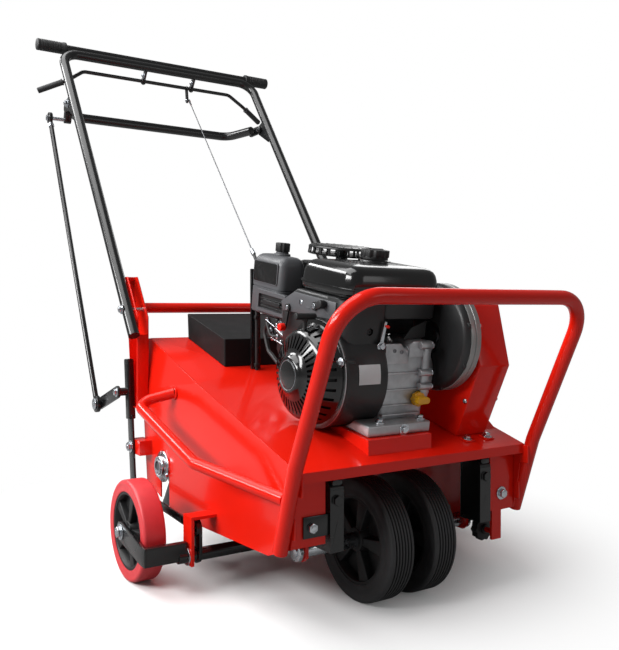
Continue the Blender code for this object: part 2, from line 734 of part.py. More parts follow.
def grip(side):
    """A rubber grip, closed at its outer end, pushed over the end of the grip bar."""
    y, z = grip_bar_centre()
    bore = GRIP_BAR_R + GAP
    end = GRIP_BAR_X + GAP
    profile = [(GRIP_IN_X, bore), (GRIP_IN_X, GRIP_R + 0.001), (GRIP_IN_X + 0.008, GRIP_R + 0.001),
               (GRIP_IN_X + 0.010, GRIP_R), (end + 0.001, GRIP_R), (end + 0.003, GRIP_R - 0.003),
               (end + 0.003, 0), (end, 0), (end, bore)]
    profile = [(side * u, r) for u, r in profile]
    sleeve = turned_closed(side_name("grip", side), profile, (0, y, z), "X", 16)
    return finish(sleeve, "rubber", smooth=True)


def turned_closed(name, profile, centre, axis, steps):
    """Spins a profile that touches its axis in the middle of the list."""
    at = next(i for i, p in enumerate(profile) if p[1] < 1e-9)
    order = profile[at + 1:] + profile[:at + 1]
    return turned(name, [(order[0][0], 0)] + order if order[0][1] > 1e-9 else order, centre, axis, steps)


def clutch_bail():
    """The bent rod below the grips, with its thicker ends and the arm that pulls the cable."""
    elbow = Vector((-CLUTCH_ELBOW_X, CLUTCH_ELBOW_Y, CLUTCH_ELBOW_Z))
    tip = Vector((-CLUTCH_TIP_X, CLUTCH_TIP_Y, CLUTCH_TIP_Z))
    right = [tip, elbow, (-CLUTCH_BAR_X, CLUTCH_Y, CLUTCH_Z)]
    left = [(-x, y, z) for x, y, z in reversed([tuple(p) for p in right])]
    bail = tube("clutch_bail", rounded(right + left, 0.025, 3), ROD_R, resolution=2)
    way = (tip - elbow).normalized()
    for side in (RIGHT, LEFT):
        ends = [elbow + way * 0.020, tip + way * 0.003]
        ends = [(p.x if side == RIGHT else -p.x, p.y, p.z) for p in ends]
        fuse(bail, tube("sleeve", ends, ROD_R + 0.0025, resolution=2))
    arm = strap((CLUTCH_Y, CLUTCH_Z), (CLUTCH_ARM_Y, CLUTCH_ARM_Z), 0.007)
    fuse(bail, plate("arm", arm, CLUTCH_ARM_X - 0.002, CLUTCH_ARM_X + 0.002))
    return finish(bail, "black_paint", pivot=(0, CLUTCH_Y, CLUTCH_Z), smooth=True)


def lift_bail():
    """The U-shaped bail behind the handle, with a lug for the lift rod on the right."""
    right = [(-BAIL_ARM_X, BAIL_Y + 0.020, BAIL_Z), (-BAIL_BAR_X, BAIL_BAR_Y, BAIL_BAR_Z)]
    left = [(-x, y, z) for x, y, z in reversed(right)]
    bail = tube("lift_bail", rounded(right + left, 0.040, 4), TUBE_R)
    for side in (RIGHT, LEFT):
        inner, outer = HANDLE_X - 0.0025 - GAP - 0.006, HANDLE_X - 0.0025 - GAP
        low, high = sided(side, inner, outer)
        lug = strap((BAIL_Y, BAIL_Z), (BAIL_Y + 0.046, BAIL_Z - 0.001), 0.012)
        fuse(bail, plate("lug", lug, low, high))
        low, high = sided(side, inner - 0.004, HANDLE_X + 0.0065)
        fuse(bail, disc("pin", PIN_R, low, high, (0, BAIL_Y, BAIL_Z), "X", 12))
    shank = disc("shank", PIN_R, -LIFT_ROD_X - 0.010, -BAIL_ARM_X + 0.006,
                 (0, ROD_TOP_Y, ROD_TOP_Z), "X", 12)
    web = strap((ROD_TOP_Y, ROD_TOP_Z), (ROD_TOP_Y - 0.008, BAIL_Z - 0.004), 0.009)
    fuse(bail, plate("web", web, -BAIL_ARM_X - 0.008, -BAIL_ARM_X + 0.010), shank)
    return finish(bail, "black_paint", pivot=(0, BAIL_Y, BAIL_Z), smooth=True)


def lift_rod():
    """The rod down the right side, an eye at the top and an open eye at the foot."""
    top = Vector((-LIFT_ROD_X, ROD_TOP_Y, ROD_TOP_Z))
    foot = Vector((-LIFT_ROD_X, LEVER_ARM_Y, LEVER_ARM_Z))
    way = (foot - top).normalized()
    rod = tube("lift_rod", [top + way * 0.012, foot - way * (OPEN_EYE_R + OPEN_EYE_RIM - 0.0017)], LIFT_ROD_R)
    low, high = -LIFT_ROD_X - 0.0045, -LIFT_ROD_X + 0.0045
    fuse(rod, disc("eye", 0.016, low, high, (0, top.y, top.z), "X", 12),
         disc("foot_eye", OPEN_EYE_R + OPEN_EYE_RIM, low, high, (0, foot.y, foot.z), "X", 14))
    cut(rod, disc("bore", PIN_R + GAP, low - 0.01, high + 0.01, (0, top.y, top.z), "X", 10),
        disc("foot_bore", OPEN_EYE_R, low - 0.01, high + 0.01, (0, foot.y, foot.z), "X", 14))
    return finish(rod, "black_paint", pivot=(0, ROD_TOP_Y, ROD_TOP_Z), smooth=True)


def lift_lever():
    """The long flat lever at the housing's rear edge, with its arm out to the rod."""
    low, high = -LEVER_X - LINK_T / 2, -LEVER_X + LINK_T / 2
    pivot = (LEVER_Y, LEVER_Z)
    lever = plate("lift_lever", strap((LEVER_TOP_Y, LEVER_TOP_Z), pivot, 0.014), low, high)
    fuse(lever, plate("lower", strap(pivot, (LEVER_FOOT_Y, LEVER_FOOT_Z), 0.0135), low + 0.0001, high - 0.0001))
    joint = along((LEVER_TOP_Y, LEVER_TOP_Z), pivot, 0.060)
    outer = -LIFT_ROD_X + 0.0045 + GAP
    arm = plate("arm", strap(joint, (LEVER_ARM_Y, LEVER_ARM_Z), 0.012), outer, outer + 0.006)
    stub = disc("stub", 0.009, outer + 0.001, high - 0.001, (0, *joint), "X", 16)
    pin = disc("pin", PIN_R, -LIFT_ROD_X - 0.0085, outer + 0.002, (0, LEVER_ARM_Y, LEVER_ARM_Z), "X", 12)
    head = disc("head", 0.0130, -LIFT_ROD_X - 0.008, -LIFT_ROD_X - 0.0045 - GAP,
                (0, LEVER_ARM_Y, LEVER_ARM_Z), "X", 14)
    fuse(lever, stub, arm, pin, head)
    cut(lever, disc("bore", PIN_R + GAP, low - 0.02, high + 0.02, (0, *pivot), "X", 12))
    end = -LINK_X - LINK_T / 2 - 0.003
    fuse(lever, disc("foot_pin", PIN_R, end, low + 0.001, (0, LEVER_FOOT_Y, LEVER_FOOT_Z), "X", 12))
    return finish(lever, "black_paint", pivot=(0, LEVER_Y, LEVER_Z), smooth=True)


def lever_pivot():
    """The red block on the side plate's rear edge, with the pin that the lever turns on."""
    inner, outer = HALF_W - 0.001, LEVER_X - LINK_T / 2 - GAP
    tab = plate("lever_pivot", [(rear_edge(LEVER_Z)[0] - 0.040, LEVER_Z - 0.016), (LEVER_Y + 0.012, LEVER_Z - 0.016),
                                (LEVER_Y + 0.012, LEVER_Z + 0.016),
                                (rear_edge(LEVER_Z)[0] - 0.040, LEVER_Z + 0.016)], -outer, -inner)
    end = -LEVER_X - LINK_T / 2
    pin = disc("pin", PIN_R, end - 0.008, -outer + 0.002, (0, LEVER_Y, LEVER_Z), "X", 12)
    nut = disc("nut", 0.009, end - 0.006, end - GAP, (0, LEVER_Y, LEVER_Z), "X", 6)
    return fuse(tab, pin, nut)


def rocker_pin():
    return ROCKER_Y, ROCKER_Z + ROCKER_ARM


def lift_link():
    """The flat link from the lever's foot forward to the rocker arm."""
    low, high = -LINK_X - LINK_T / 2, -LINK_X + LINK_T / 2
    foot = (LEVER_FOOT_Y, LEVER_FOOT_Z)
    pin = rocker_pin()
    near = along(foot, pin, 0.014)
    far = along(pin, foot, OPEN_EYE_R + 0.009)
    link = plate("lift_link", strap(near, far, 0.008), low + 0.0005, high - 0.0005)
    fuse(link, disc("eye", 0.012, low, high, (0, *foot), "X", 12),
         disc("open_eye", OPEN_EYE_R + 0.005, low, high, (0, *pin), "X", 14))
    cut(link, disc("bore", PIN_R + GAP, low - 0.01, high + 0.01, (0, *foot), "X", 10),
        disc("open_bore", OPEN_EYE_R, low - 0.01, high + 0.01, (0, *pin), "X", 14))
    return finish(link, "black_paint", pivot=(0, LEVER_FOOT_Y, LEVER_FOOT_Z))


def wheel_carriage():
    """The rocker shaft across the housing, with an arm and a stub axle for each rear wheel."""
    reach = HANGER_X + HANGER_T / 2
    shaft = disc("wheel_carriage", ROCKER_R, -reach - 0.020, reach + 0.020, (0, ROCKER_Y, ROCKER_Z), "X", 14)
    bar_z = ROCKER_Z + 0.016
    for side in (RIGHT, LEFT):
        low, high = sided(side, reach + 0.003, ARM_X)
        bar = box("bar", (low, ROCKER_Y - 0.009, bar_z - 0.022), (high, ROCKER_Y + 0.004, bar_z + 0.012))
        fuse(shaft, bar)
        low, high = sided(side, ARM_X - ARM_T / 2, ARM_X + ARM_T / 2)
        outline = [(ROCKER_Y - 0.009, bar_z - 0.022), (ROCKER_Y + 0.012, bar_z - 0.022),
                   (REAR_WHEEL_Y + 0.006, REAR_WHEEL_R - 0.018), (REAR_WHEEL_Y + 0.020, REAR_WHEEL_R),
                   (REAR_WHEEL_Y + 0.012, REAR_WHEEL_R + 0.018), (REAR_WHEEL_Y - 0.008, REAR_WHEEL_R + 0.020),
                   (ROCKER_Y + 0.012, bar_z + 0.012), (ROCKER_Y - 0.009, bar_z + 0.012)]
        arm = plate("arm", outline, low, high)
        low, high = sided(side, REAR_WHEEL_IN_X - 0.004, ARM_X + 0.004)
        stub = disc("stub", REAR_STUB_R, low, high, (0, REAR_WHEEL_Y, REAR_WHEEL_R), "X", 12)
        low, high = sided(side, REAR_WHEEL_IN_X - 0.008, REAR_WHEEL_IN_X - 0.003)
        washer = disc("washer", 0.013, low, high, (0, REAR_WHEEL_Y, REAR_WHEEL_R), "X", 12)
        low, high = sided(side, ARM_X + 0.001, ARM_X + 0.012)
        head = disc("head", 0.011, low, high, (0, REAR_WHEEL_Y, REAR_WHEEL_R), "X", 6)
        fuse(shaft, arm, stub, washer, head)
    low, high = -LINK_X + LINK_T / 2 + GAP, -LINK_X + LINK_T / 2 + 0.0065
    upright = plate("upright", strap((ROCKER_Y, ROCKER_Z), rocker_pin(), 0.015), low, high)
    pin = disc("pin", PIN_R, -LINK_X - LINK_T / 2 - 0.003, low + 0.001, (0, *rocker_pin()), "X", 12)
    fuse(shaft, upright, pin)
    return finish(shaft, "black_paint", pivot=(0, ROCKER_Y, ROCKER_Z), smooth=True)


def wheel_hanger(side):
    """The red bent bracket on the side plate that the rocker shaft turns in."""
    shelf_z = ROCKER_Z + ROCKER_ARM + OPEN_EYE_R + 0.005 + 0.002
    front, rear = ROCKER_Y - HANGER_W / 2, ROCKER_Y + HANGER_W / 2
    low, high = sided(side, HANGER_X - HANGER_T / 2, HANGER_X + HANGER_T / 2)
    leg = plate("wheel_hanger", [(front, ROCKER_Z - 0.016), (rear, ROCKER_Z - 0.016),
                                 (rear, shelf_z + HANGER_T), (front, shelf_z + HANGER_T)], low, high)
    low, high = sided(side, HALF_W - 0.001, HANGER_X)
    shelf = box("shelf", (low, front + 0.0005, shelf_z), (high, rear - 0.0005, shelf_z + HANGER_T - 0.0005))
    fuse(leg, shelf)
    low, high = sided(side, HANGER_X - 0.02, HANGER_X + 0.02)
    bore = (ROCKER_R + GAP) / math.cos(math.pi / 14)
    return cut(leg, disc("bore", bore, low, high, (0, ROCKER_Y, ROCKER_Z), "X", 14))


def wheel_core(name, radius, inner_x, outer_x, centre, bore, side, spokes, paint):
    """A moulded wheel core: a hub, a rim and spokes across the dished outer face."""
    low, high = sided(side, inner_x, outer_x)
    middle = (low + high) / 2
    half = (high - low) / 2
    rim = 0.007
    hub = bore + 0.012
    web = -0.006
    out = side * half
    profile = [(middle - out, bore), (middle - out, radius), (middle + out, radius),
               (middle + out, radius - rim), (middle + side * web, radius - rim),
               (middle + side * web, hub), (middle + out, hub), (middle + out, bore)]
    core = turned(name, profile, (0, centre[1], centre[2]), "X", WHEEL_STEPS)
    for i in range(spokes):
        turn = 2 * math.pi * i / spokes
        low, high = sorted((middle + side * (web - 0.004), middle + side * (half - 0.004)))
        rib = box("rib", (low, -0.004, hub - 0.003), (high, 0.004, radius - rim + 0.002))
        rib.data.transform(Matrix.Translation((0, centre[1], centre[2])) @ Matrix.Rotation(turn, 4, "X"))
        fuse(core, rib)
    return finish(core, paint, pivot=(0, centre[1], centre[2]), smooth=True)


def tyre(name, radius, inner, inner_x, outer_x, centre, side, paint):
    """A solid tyre with rounded shoulders."""
    low, high = sided(side, inner_x, outer_x)
    edge = 0.007
    profile = [(low, inner), (low, radius - edge), (low + edge * 0.3, radius - edge * 0.3),
               (low + edge, radius), (high - edge, radius), (high - edge * 0.3, radius - edge * 0.3),
               (high, radius - edge), (high, inner)]
    made = turned(name, profile, (0, centre[1], centre[2]), "X", WHEEL_STEPS)
    return finish(made, paint, pivot=(0, centre[1], centre[2]), smooth=True)


def front_wheel(side):
    centre = (0, FRONT_WHEEL_Y, FRONT_WHEEL_R)
    core = wheel_core(side_name("front_wheel_core", side), FRONT_RIM_R, FRONT_WHEEL_IN_X + 0.003,
                      FRONT_WHEEL_OUT_X - 0.003, centre, FRONT_AXLE_R + GAP, side, 5, "black_plastic")
    outer = tyre(side_name("front_tyre", side), FRONT_WHEEL_R, FRONT_RIM_R + GAP, FRONT_WHEEL_IN_X,
                 FRONT_WHEEL_OUT_X, centre, side, "rubber")
    return core, outer


def rear_wheel(side, carriage):
    centre = (0, REAR_WHEEL_Y, REAR_WHEEL_R)
    core = wheel_core(side_name("rear_wheel_core", side), REAR_RIM_R, REAR_WHEEL_IN_X + 0.002,
                      REAR_WHEEL_OUT_X - 0.002, centre, REAR_STUB_R + GAP, side, 5, "black_plastic")
    outer = tyre(side_name("rear_tyre", side), REAR_WHEEL_R, REAR_RIM_R + GAP, REAR_WHEEL_IN_X,
                 REAR_WHEEL_OUT_X, centre, side, "red_tyre")
    for piece in (core, outer):
        piece.location = Vector(centre) - Vector((0, ROCKER_Y, ROCKER_Z))
        piece.parent = carriage
    return core, outer


def front_axle():
    """The axle through both front wheels, with spacers beside them and a collar at each end."""
    face = FORK_OUT_X + GAP + BRACKET_T + GAP
    axle = disc("front_axle", FRONT_AXLE_R, -face - 0.012, face + 0.012, (0, FRONT_WHEEL_Y, FRONT_WHEEL_R), "X", 12)
    for side in (RIGHT, LEFT):
        for inner, outer, radius in ((0.002, FRONT_WHEEL_IN_X + 0.003 - GAP, 0.016),
                                     (FRONT_WHEEL_OUT_X - 0.003 + GAP, FORK_OUT_X, 0.0135),
                                     (face, face + 0.009, 0.018)):
            low, high = sided(side, inner, outer)
            fuse(axle, disc("collar", radius, low, high, (0, FRONT_WHEEL_Y, FRONT_WHEEL_R), "X", 12))
    return finish(axle, "zinc", smooth=True)


def axle_bracket(side):
    """The red plate below the deck that carries one end of the front axle."""
    low, high = sided(side, FORK_OUT_X + GAP, FORK_OUT_X + GAP + BRACKET_T)
    eye_front = FRONT_WHEEL_Y - AXLE_EYE
    eye_rear = FRONT_WHEEL_Y + AXLE_EYE
    outline = [(BRACKET_FRONT_Y, deck_z(BRACKET_FRONT_Y) - 0.001), (BRACKET_FRONT_Y, FRONT_WHEEL_R + 0.042),
               (eye_front, FRONT_WHEEL_R + 0.020), (eye_front, FRONT_WHEEL_R - 0.009),
               (eye_front + 0.010, FRONT_WHEEL_R - 0.017), (eye_rear - 0.010, FRONT_WHEEL_R - 0.017),
               (eye_rear, FRONT_WHEEL_R - 0.009), (BRACKET_REAR_Y, FRONT_WHEEL_R + 0.030),
               (BRACKET_REAR_Y, deck_z(BRACKET_REAR_Y) - 0.001)]
    arm = plate("axle_bracket", outline, low, high)
    return cut(arm, disc("bore", FRONT_AXLE_R + GAP, low - 0.01, high + 0.01,
                         (0, FRONT_WHEEL_Y, FRONT_WHEEL_R), "X", 16))


def fork_channel(side):
    """A black upright channel beside the axle bracket, round at its top front edge, with its bolt."""
    low, high = sided(side, FORK_IN_X, FORK_OUT_X)
    top = beam_z() - FORK_CLEAR
    round_r = 0.014
    outline = [(FORK_REAR_Y, FORK_BOTTOM_Z), (FORK_REAR_Y, top)]
    for i in range(5):
        turn = math.pi / 2 + math.pi / 2 * i / 4
        outline.append((FORK_FRONT_Y + round_r + round_r * math.cos(turn), top - round_r + round_r * math.sin(turn)))
    outline.append((FORK_FRONT_Y, FORK_BOTTOM_Z))
    channel = plate(side_name("fork_channel", side), outline, low, high)
    hollow = [(FORK_REAR_Y - SHEET, FORK_BOTTOM_Z - 0.01), (FORK_REAR_Y - SHEET, top - SHEET - 0.004),
              (FORK_FRONT_Y + SHEET + 0.008, top - SHEET - 0.004),
              (FORK_FRONT_Y + SHEET, top - 0.018), (FORK_FRONT_Y + SHEET, FORK_BOTTOM_Z - 0.01)]
    cut(channel, plate("hollow", hollow, low + SHEET, high - SHEET))
    head = disc("head", 0.009, FORK_FRONT_Y - 0.006, FORK_FRONT_Y + 0.001, ((low + high) / 2, 0, top - 0.030), "Y", 6)
    fuse(channel, head)
    return finish(channel, "black_paint")


def knob_centre():
    return KNOB_X, PANEL_Y + KNOB_SET, PANEL_BOTTOM_Z - KNOB_DROP


def depth_knob():
    """The scalloped knob under the left front panel."""
    x, y, z = knob_centre()
    outline = []
    lobes = 10
    for i in range(lobes * 2):
        turn = 2 * math.pi * i / (lobes * 2)
        radius = KNOB_R + 0.0012 * math.cos(lobes * turn)
        outline.append((x + radius * math.cos(turn), z + radius * math.sin(turn)))
    knob = plate("depth_knob", outline, y, y + KNOB_T, "Y")
    fuse(knob, disc("hub", 0.010, y - 0.004, y + KNOB_T + 0.004, (x, 0, z), "Y", 14))
    cut(knob, disc("bore", PIN_R + GAP, y - 0.01, y + KNOB_T + 0.01, (x, 0, z), "Y", 12))
    return finish(knob, "black_plastic", pivot=(x, y, z), smooth=True)


def depth_tab():
    """The red tab below the left front panel that holds the knob's screw."""
    x, _, z = knob_centre()
    return box("depth_tab", (x - 0.012, PANEL_Y + 0.0005, z - 0.012),
               (x + 0.012, PANEL_Y + 0.0055, PANEL_BOTTOM_Z + 0.030))


def depth_screw():
    x, y, z = knob_centre()
    return disc("depth_screw", PIN_R, PANEL_Y + 0.002, y + KNOB_T + 0.008, (x, 0, z), "Y", 12)


def bearing_flange(side):
    """Pressed flange bearing of the tine shaft, outside the side plate."""
    face = HALF_W + GAP
    profile = [(face, REEL_SHAFT_R + GAP), (face, BEARING_R), (face + 0.004, BEARING_R),
               (face + BEARING_T, BEARING_R - 0.008), (face + BEARING_T, REEL_SHAFT_R + GAP)]
    profile = [(side * u, r) for u, r in profile]
    made = turned(side_name("bearing_flange", side), profile, (0, TINE_Y, TINE_Z), "X", 20)
    return finish(made, "zinc", smooth=True)


def tine_shaft():
    """The reel's shaft with the chain wheel that drives it."""
    reach = HALF_W + GAP + BEARING_T - 0.002
    shaft = disc("tine_shaft", REEL_SHAFT_R, -reach, reach, (0, TINE_Y, TINE_Z), "X", 14)
    fuse(shaft, sprocket("wheel", REEL_SPROCKET_R, CHAIN_X, 20, REEL_SHAFT_R, (0, TINE_Y, TINE_Z)))
    return finish(shaft, "steel", pivot=(0, TINE_Y, TINE_Z), smooth=True)


def spool_x(index):
    return SPOOL_FIRST_X + SPOOL_PITCH * index


def tine_spool(index, reel):
    """A sleeve on the shaft with two rings of hollow coring tines, turned against its neighbours."""
    middle = spool_x(index)
    half = TINE_PLATE_T / 2
    left, right = middle - RING_PITCH / 2, middle + RING_PITCH / 2
    bore = REEL_SHAFT_R + GAP
    end = RING_PITCH / 2 + SLEEVE_END
    hub = turned("tine_spool_%d" % (index + 1),
                 [(middle - end, bore), (middle - end, SLEEVE_R), (left - half, SLEEVE_R), (left - half, TINE_PLATE_R),
                  (left + half, TINE_PLATE_R), (left + half, SLEEVE_R), (right - half, SLEEVE_R),
                  (right - half, TINE_PLATE_R), (right + half, TINE_PLATE_R), (right + half, SLEEVE_R),
                  (middle + end, SLEEVE_R), (middle + end, bore)], (0, 0, 0), "X", 14)
    step = 2 * math.pi / TINES_PER_STAR
    for row, x in enumerate((left, right)):
        for i in range(TINES_PER_STAR):
            turn = Matrix.Rotation(step * (i + (2 * index + row) / (2 * SPOOLS)), 4, "X")
            tine = disc("tine", TINE_R, TINE_PLATE_R - 0.022, TINE_TIP_R, (x, 0, 0), "Z", 6)
            hollow = disc("hollow", TINE_BORE_R, TINE_TIP_R - 0.045, TINE_TIP_R + 0.01, (x, 0, 0), "Z", 4)
            for piece in (tine, hollow):
                piece.data.transform(turn)
            fuse(hub, tine)
            cut(hub, hollow)
    finish(hub, "steel", smooth=False)
    hub.parent = reel
    return hub


def sprocket(name, radius, x, teeth, bore, centre):
    """A chain wheel with plain teeth and a hub, to be fused on its shaft."""
    outline = []
    for i in range(teeth):
        for share, reach in ((0.0, -0.003), (0.5, 0.002)):
            turn = 2 * math.pi * (i + share) / teeth
            outline.append(((radius + reach) * math.cos(turn), (radius + reach) * math.sin(turn)))
    wheel = plate(name, outline, x - 0.002, x + 0.002)
    fuse(wheel, disc("hub", bore + 0.006, x - 0.010, x + 0.008, (0, 0, 0), "X", 12))
    wheel.data.transform(Matrix.Translation(centre))
    return wheel


def pulley(name, radius, x, centre):
    """A V-belt pulley, solid to its middle, to be fused on its shaft."""
    half = BELT_W / 2
    profile = [(x - half - 0.004, 0), (x - half - 0.004, radius), (x - half - 0.001, radius),
               (x - half + 0.001, radius - BELT_T - 0.002), (x + half - 0.001, radius - BELT_T - 0.002),
               (x + half + 0.001, radius), (x + half + 0.004, radius), (x + half + 0.004, 0)]
    return turned(name, profile, centre, "X", 18)


def gear_axis():
    c, s = math.cos(ENGINE_TILT), math.sin(ENGINE_TILT)
    return CRANK_Y + GEAR_A * c - GEAR_B * s, CRANK_Z + GEAR_A * s + GEAR_B * c


def tangent_loop(first, first_r, second, second_r, steps=10):
    """The closed outline that runs tight round two circles of the YZ plane, never inside them."""
    dy, dz = second[0] - first[0], second[1] - first[1]
    base = math.atan2(dz, dy)
    spread = math.acos((first_r - second_r) / math.hypot(dy, dz))
    outline = []
    for centre, radius, start, sweep in ((first, first_r, base + spread, 2 * math.pi - 2 * spread),
                                         (second, second_r, base - spread, 2 * spread)):
        reach = radius / math.cos(sweep / steps / 2)
        for i in range(steps + 1):
            turn = start + sweep * i / steps
            outline.append((centre[0] + reach * math.cos(turn), centre[1] + reach * math.sin(turn)))
    return outline


def loop_band(name, first, first_r, second, second_r, thick, low, high, steps=12):
    """A band of one thickness round two wheels, such as a belt or a chain."""
    band = plate(name, tangent_loop(first, first_r + thick, second, second_r + thick, steps), low, high)
    return cut(band, plate("space", tangent_loop(first, first_r, second, second_r, steps), low - 0.01, high + 0.01))


def drive_belt():
    """The V-belt, at the bottom of both pulleys' grooves while the idler leaves it slack."""
    inner = BELT_T + 0.002 - GAP
    belt = loop_band("drive_belt", gear_axis(), DRIVE_PULLEY_R - inner, (JACK_Y, JACK_Z),
                     JACK_PULLEY_R - inner, BELT_T - 0.001, BELT_X - BELT_W / 2 + 0.002,
                     BELT_X + BELT_W / 2 - 0.002, 10)
    return finish(belt, "rubber")


def drive_chain():
    chain = loop_band("drive_chain", (JACK_Y, JACK_Z), JACK_SPROCKET_R + 0.002 + GAP, (TINE_Y, TINE_Z),
                      REEL_SPROCKET_R + 0.002 + GAP, 0.005, CHAIN_X - CHAIN_W / 2, CHAIN_X + CHAIN_W / 2, 10)
    return finish(chain, "steel")


def jackshaft():
    """The cross shaft below the deck, with the belt's pulley and the chain's driving wheel."""
    low, high = BELT_X - 0.034, HALF_W - SHEET - 2 * GAP
    centre = (0, JACK_Y, JACK_Z)
    shaft = disc("jackshaft", JACK_R, low, high, centre, "X", 16)
    fuse(shaft, pulley("pulley", JACK_PULLEY_R, BELT_X, centre),
         sprocket("wheel", JACK_SPROCKET_R, CHAIN_X, 10, JACK_R, centre))
    return finish(shaft, "steel", pivot=centre, smooth=True)


def hanger_face():
    """Right-hand face of the jackshaft's bearing plate and of the idler's hanger."""
    return BELT_X - 0.031


def jackshaft_bearing():
    """The inner bearing plate of the jackshaft, hung from the deck."""
    low, high = hanger_face(), hanger_face() + 0.012
    outline = [(JACK_Y - 0.030, JACK_Z + 0.020), (JACK_Y - 0.020, JACK_Z - 0.016),
               (JACK_Y, JACK_Z - 0.024), (JACK_Y + 0.020, JACK_Z - 0.016),
               (JACK_Y + 0.030, JACK_Z + 0.020), (JACK_Y + 0.030, deck_z(JACK_Y + 0.030) - 0.001),
               (JACK_Y - 0.030, deck_z(JACK_Y - 0.030) - 0.001)]
    block = plate("jackshaft_bearing", outline, low, high)
    return cut(block, disc("bore", JACK_R + GAP, low - 0.01, high + 0.01, (0, JACK_Y, JACK_Z), "X", 16))


def belt_cover():
    """The red sheet cover over the engine end of the belt, open below."""
    foot_front = -0.481
    foot_rear = -0.170
    lift = 2 * GAP
    outline = [(foot_front, deck_z(foot_front) + lift), (-0.543, 0.415), (-0.515, 0.527),
               (-0.375, 0.520), (-0.235, 0.420), (foot_rear, deck_z(foot_rear) + lift)]
    cover = plate("belt_cover", outline, COVER_IN_X, COVER_OUT_X)
    inner = inset(outline, 0.002)
    floor = [(y, z) if z > 0.40 else (y, deck_z(y) - 0.004) for y, z in inner]
    cut(cover, plate("inside", floor, COVER_IN_X + 0.002, COVER_OUT_X - 0.002))
    y, z = gear_axis()
    cut(cover, disc("shaft_hole", OUTPUT_R + 0.006, COVER_IN_X - 0.01, COVER_IN_X + 0.01, (0, y, z), "X", 24))
    return finish(cover, "red_paint")


def chain_hump():
    """The low rounded hump on the left of the deck, over the chain."""
    low, high = COVER_OUT_X + 0.004, HALF_W - SHEET - 0.002
    start, end = -0.470, -0.170
    steps = 8
    outline = [(start, deck_z(start) - 0.001)]
    for i in range(1, steps):
        share = i / steps
        y = start + (end - start) * share
        outline.append((y, deck_z(y) + 0.030 * math.sin(math.pi * share) ** 0.6))
    outline.append((end, deck_z(end) - 0.001))
    return plate("chain_hump", outline, low, high)


def idler_arm():
    """The swinging arm of the belt tightener, with the pin of its wheel and its cable tail."""
    pivot, wheel = idler_points()
    low, high = BELT_X - BELT_W / 2 - 0.011, BELT_X - BELT_W / 2 - 0.006
    arm = plate("idler_arm", strap(pivot, wheel, 0.009), low, high)
    pin = disc("pin", PIN_R, low + 0.002, BELT_X + BELT_W / 2 + 0.006, (0, *wheel), "X", 12)
    fuse(arm, pin)
    cut(arm, disc("bore", PIN_R + GAP, low - 0.01, high + 0.01, (0, *pivot), "X", 12))
    return finish(arm, "steel", pivot=(0, *pivot), smooth=True)


def idler_points():
    """Pivot of the idler arm and the idler wheel's centre, below the slack run of the belt."""
    y, z = gear_axis()
    share = IDLER_PLACE
    dy, dz = JACK_Y - y, JACK_Z - z
    length = math.hypot(dy, dz)
    off = DRIVE_PULLEY_R + (JACK_PULLEY_R - DRIVE_PULLEY_R) * share + IDLER_R + IDLER_REST
    wheel = (y + dy * share + dz / length * off, z + dz * share - dy / length * off)
    return (wheel[0] - IDLER_ARM, wheel[1] + 0.012), wheel


def idler_post():
    """The hanger below the deck that the idler arm swings on and the cable's sheath ends at."""
    (y, z), _ = idler_points()
    low, high = hanger_face(), BELT_X - BELT_W / 2 - 0.011 - GAP
    return plate("idler_post", [(y - 0.014, z - 0.012), (y + 0.014, z - 0.012), (y + 0.014, deck_z(y + 0.014) - 0.001),
                                (y - 0.014, deck_z(y - 0.014) - 0.001)], low, high)


def idler_pin():
    pivot, _ = idler_points()
    high = BELT_X - BELT_W / 2 - 0.006
    return disc("idler_pin", PIN_R, high - 0.010, high + 0.003, (0, *pivot), "X", 12)


def idler_pulley(arm):
    pivot, wheel = idler_points()
    half = BELT_W / 2
    made = ring("idler_pulley", IDLER_R, PIN_R + GAP, BELT_X - half, BELT_X + half, (0, *wheel), "X", 20)
    finish(made, "zinc", pivot=(0, *wheel), smooth=True)
    made.location = Vector((0, wheel[0] - pivot[0], wheel[1] - pivot[1]))
    made.parent = arm
    return made


def engine_frame():
    """Empty on the crank axis, tilted with the engine, that the engine's pieces hang from."""
    frame = bpy.data.objects.new("engine_frame", None)
    bpy.context.scene.collection.objects.link(frame)
    frame.location = (ENGINE_X, CRANK_Y, CRANK_Z)
    frame.rotation_euler = (ENGINE_TILT, 0, 0)
    return frame


def engine_point(a, b):
    """World Y and Z of a point given in the tilted engine frame."""
    c, s = math.cos(ENGINE_TILT), math.sin(ENGINE_TILT)
    return CRANK_Y + a * c - b * s, CRANK_Z + a * s + b * c


def engine_riser():
    """The red channel between the deck and the engine's foot, open below, notched for the fan housing."""
    low, high = ENGINE_X - 0.096, ENGINE_X + 0.043
    front = engine_point(BASE_FRONT - 0.010, BASE_B - GAP)
    rear = engine_point(BASE_REAR - 0.022, BASE_B - GAP)
    seat = GAP
    outline = [(front[0], deck_z(front[0]) + seat), (rear[0], deck_z(rear[0]) + seat), rear, front]
    riser = plate("engine_riser", outline, low, high)
    wall = SHEET
    inner = [(front[0] + wall, deck_z(front[0]) - 0.02), (rear[0] - 0.030, deck_z(rear[0] - 0.030) - 0.02),
             (rear[0] - 0.030, deck_z(rear[0] - 0.030) + 0.004), (front[0] + wall, front[1] - wall)]
    cut(riser, plate("inside", inner, low + wall, high - wall))
    cut(riser, disc("housing_notch", HOUSING_R + 0.001, low - 0.01, ENGINE_X + HOUSING_IN_X + 0.001,
                   (0, CRANK_Y, CRANK_Z), "X", 32))
    return finish(riser, "red_paint")


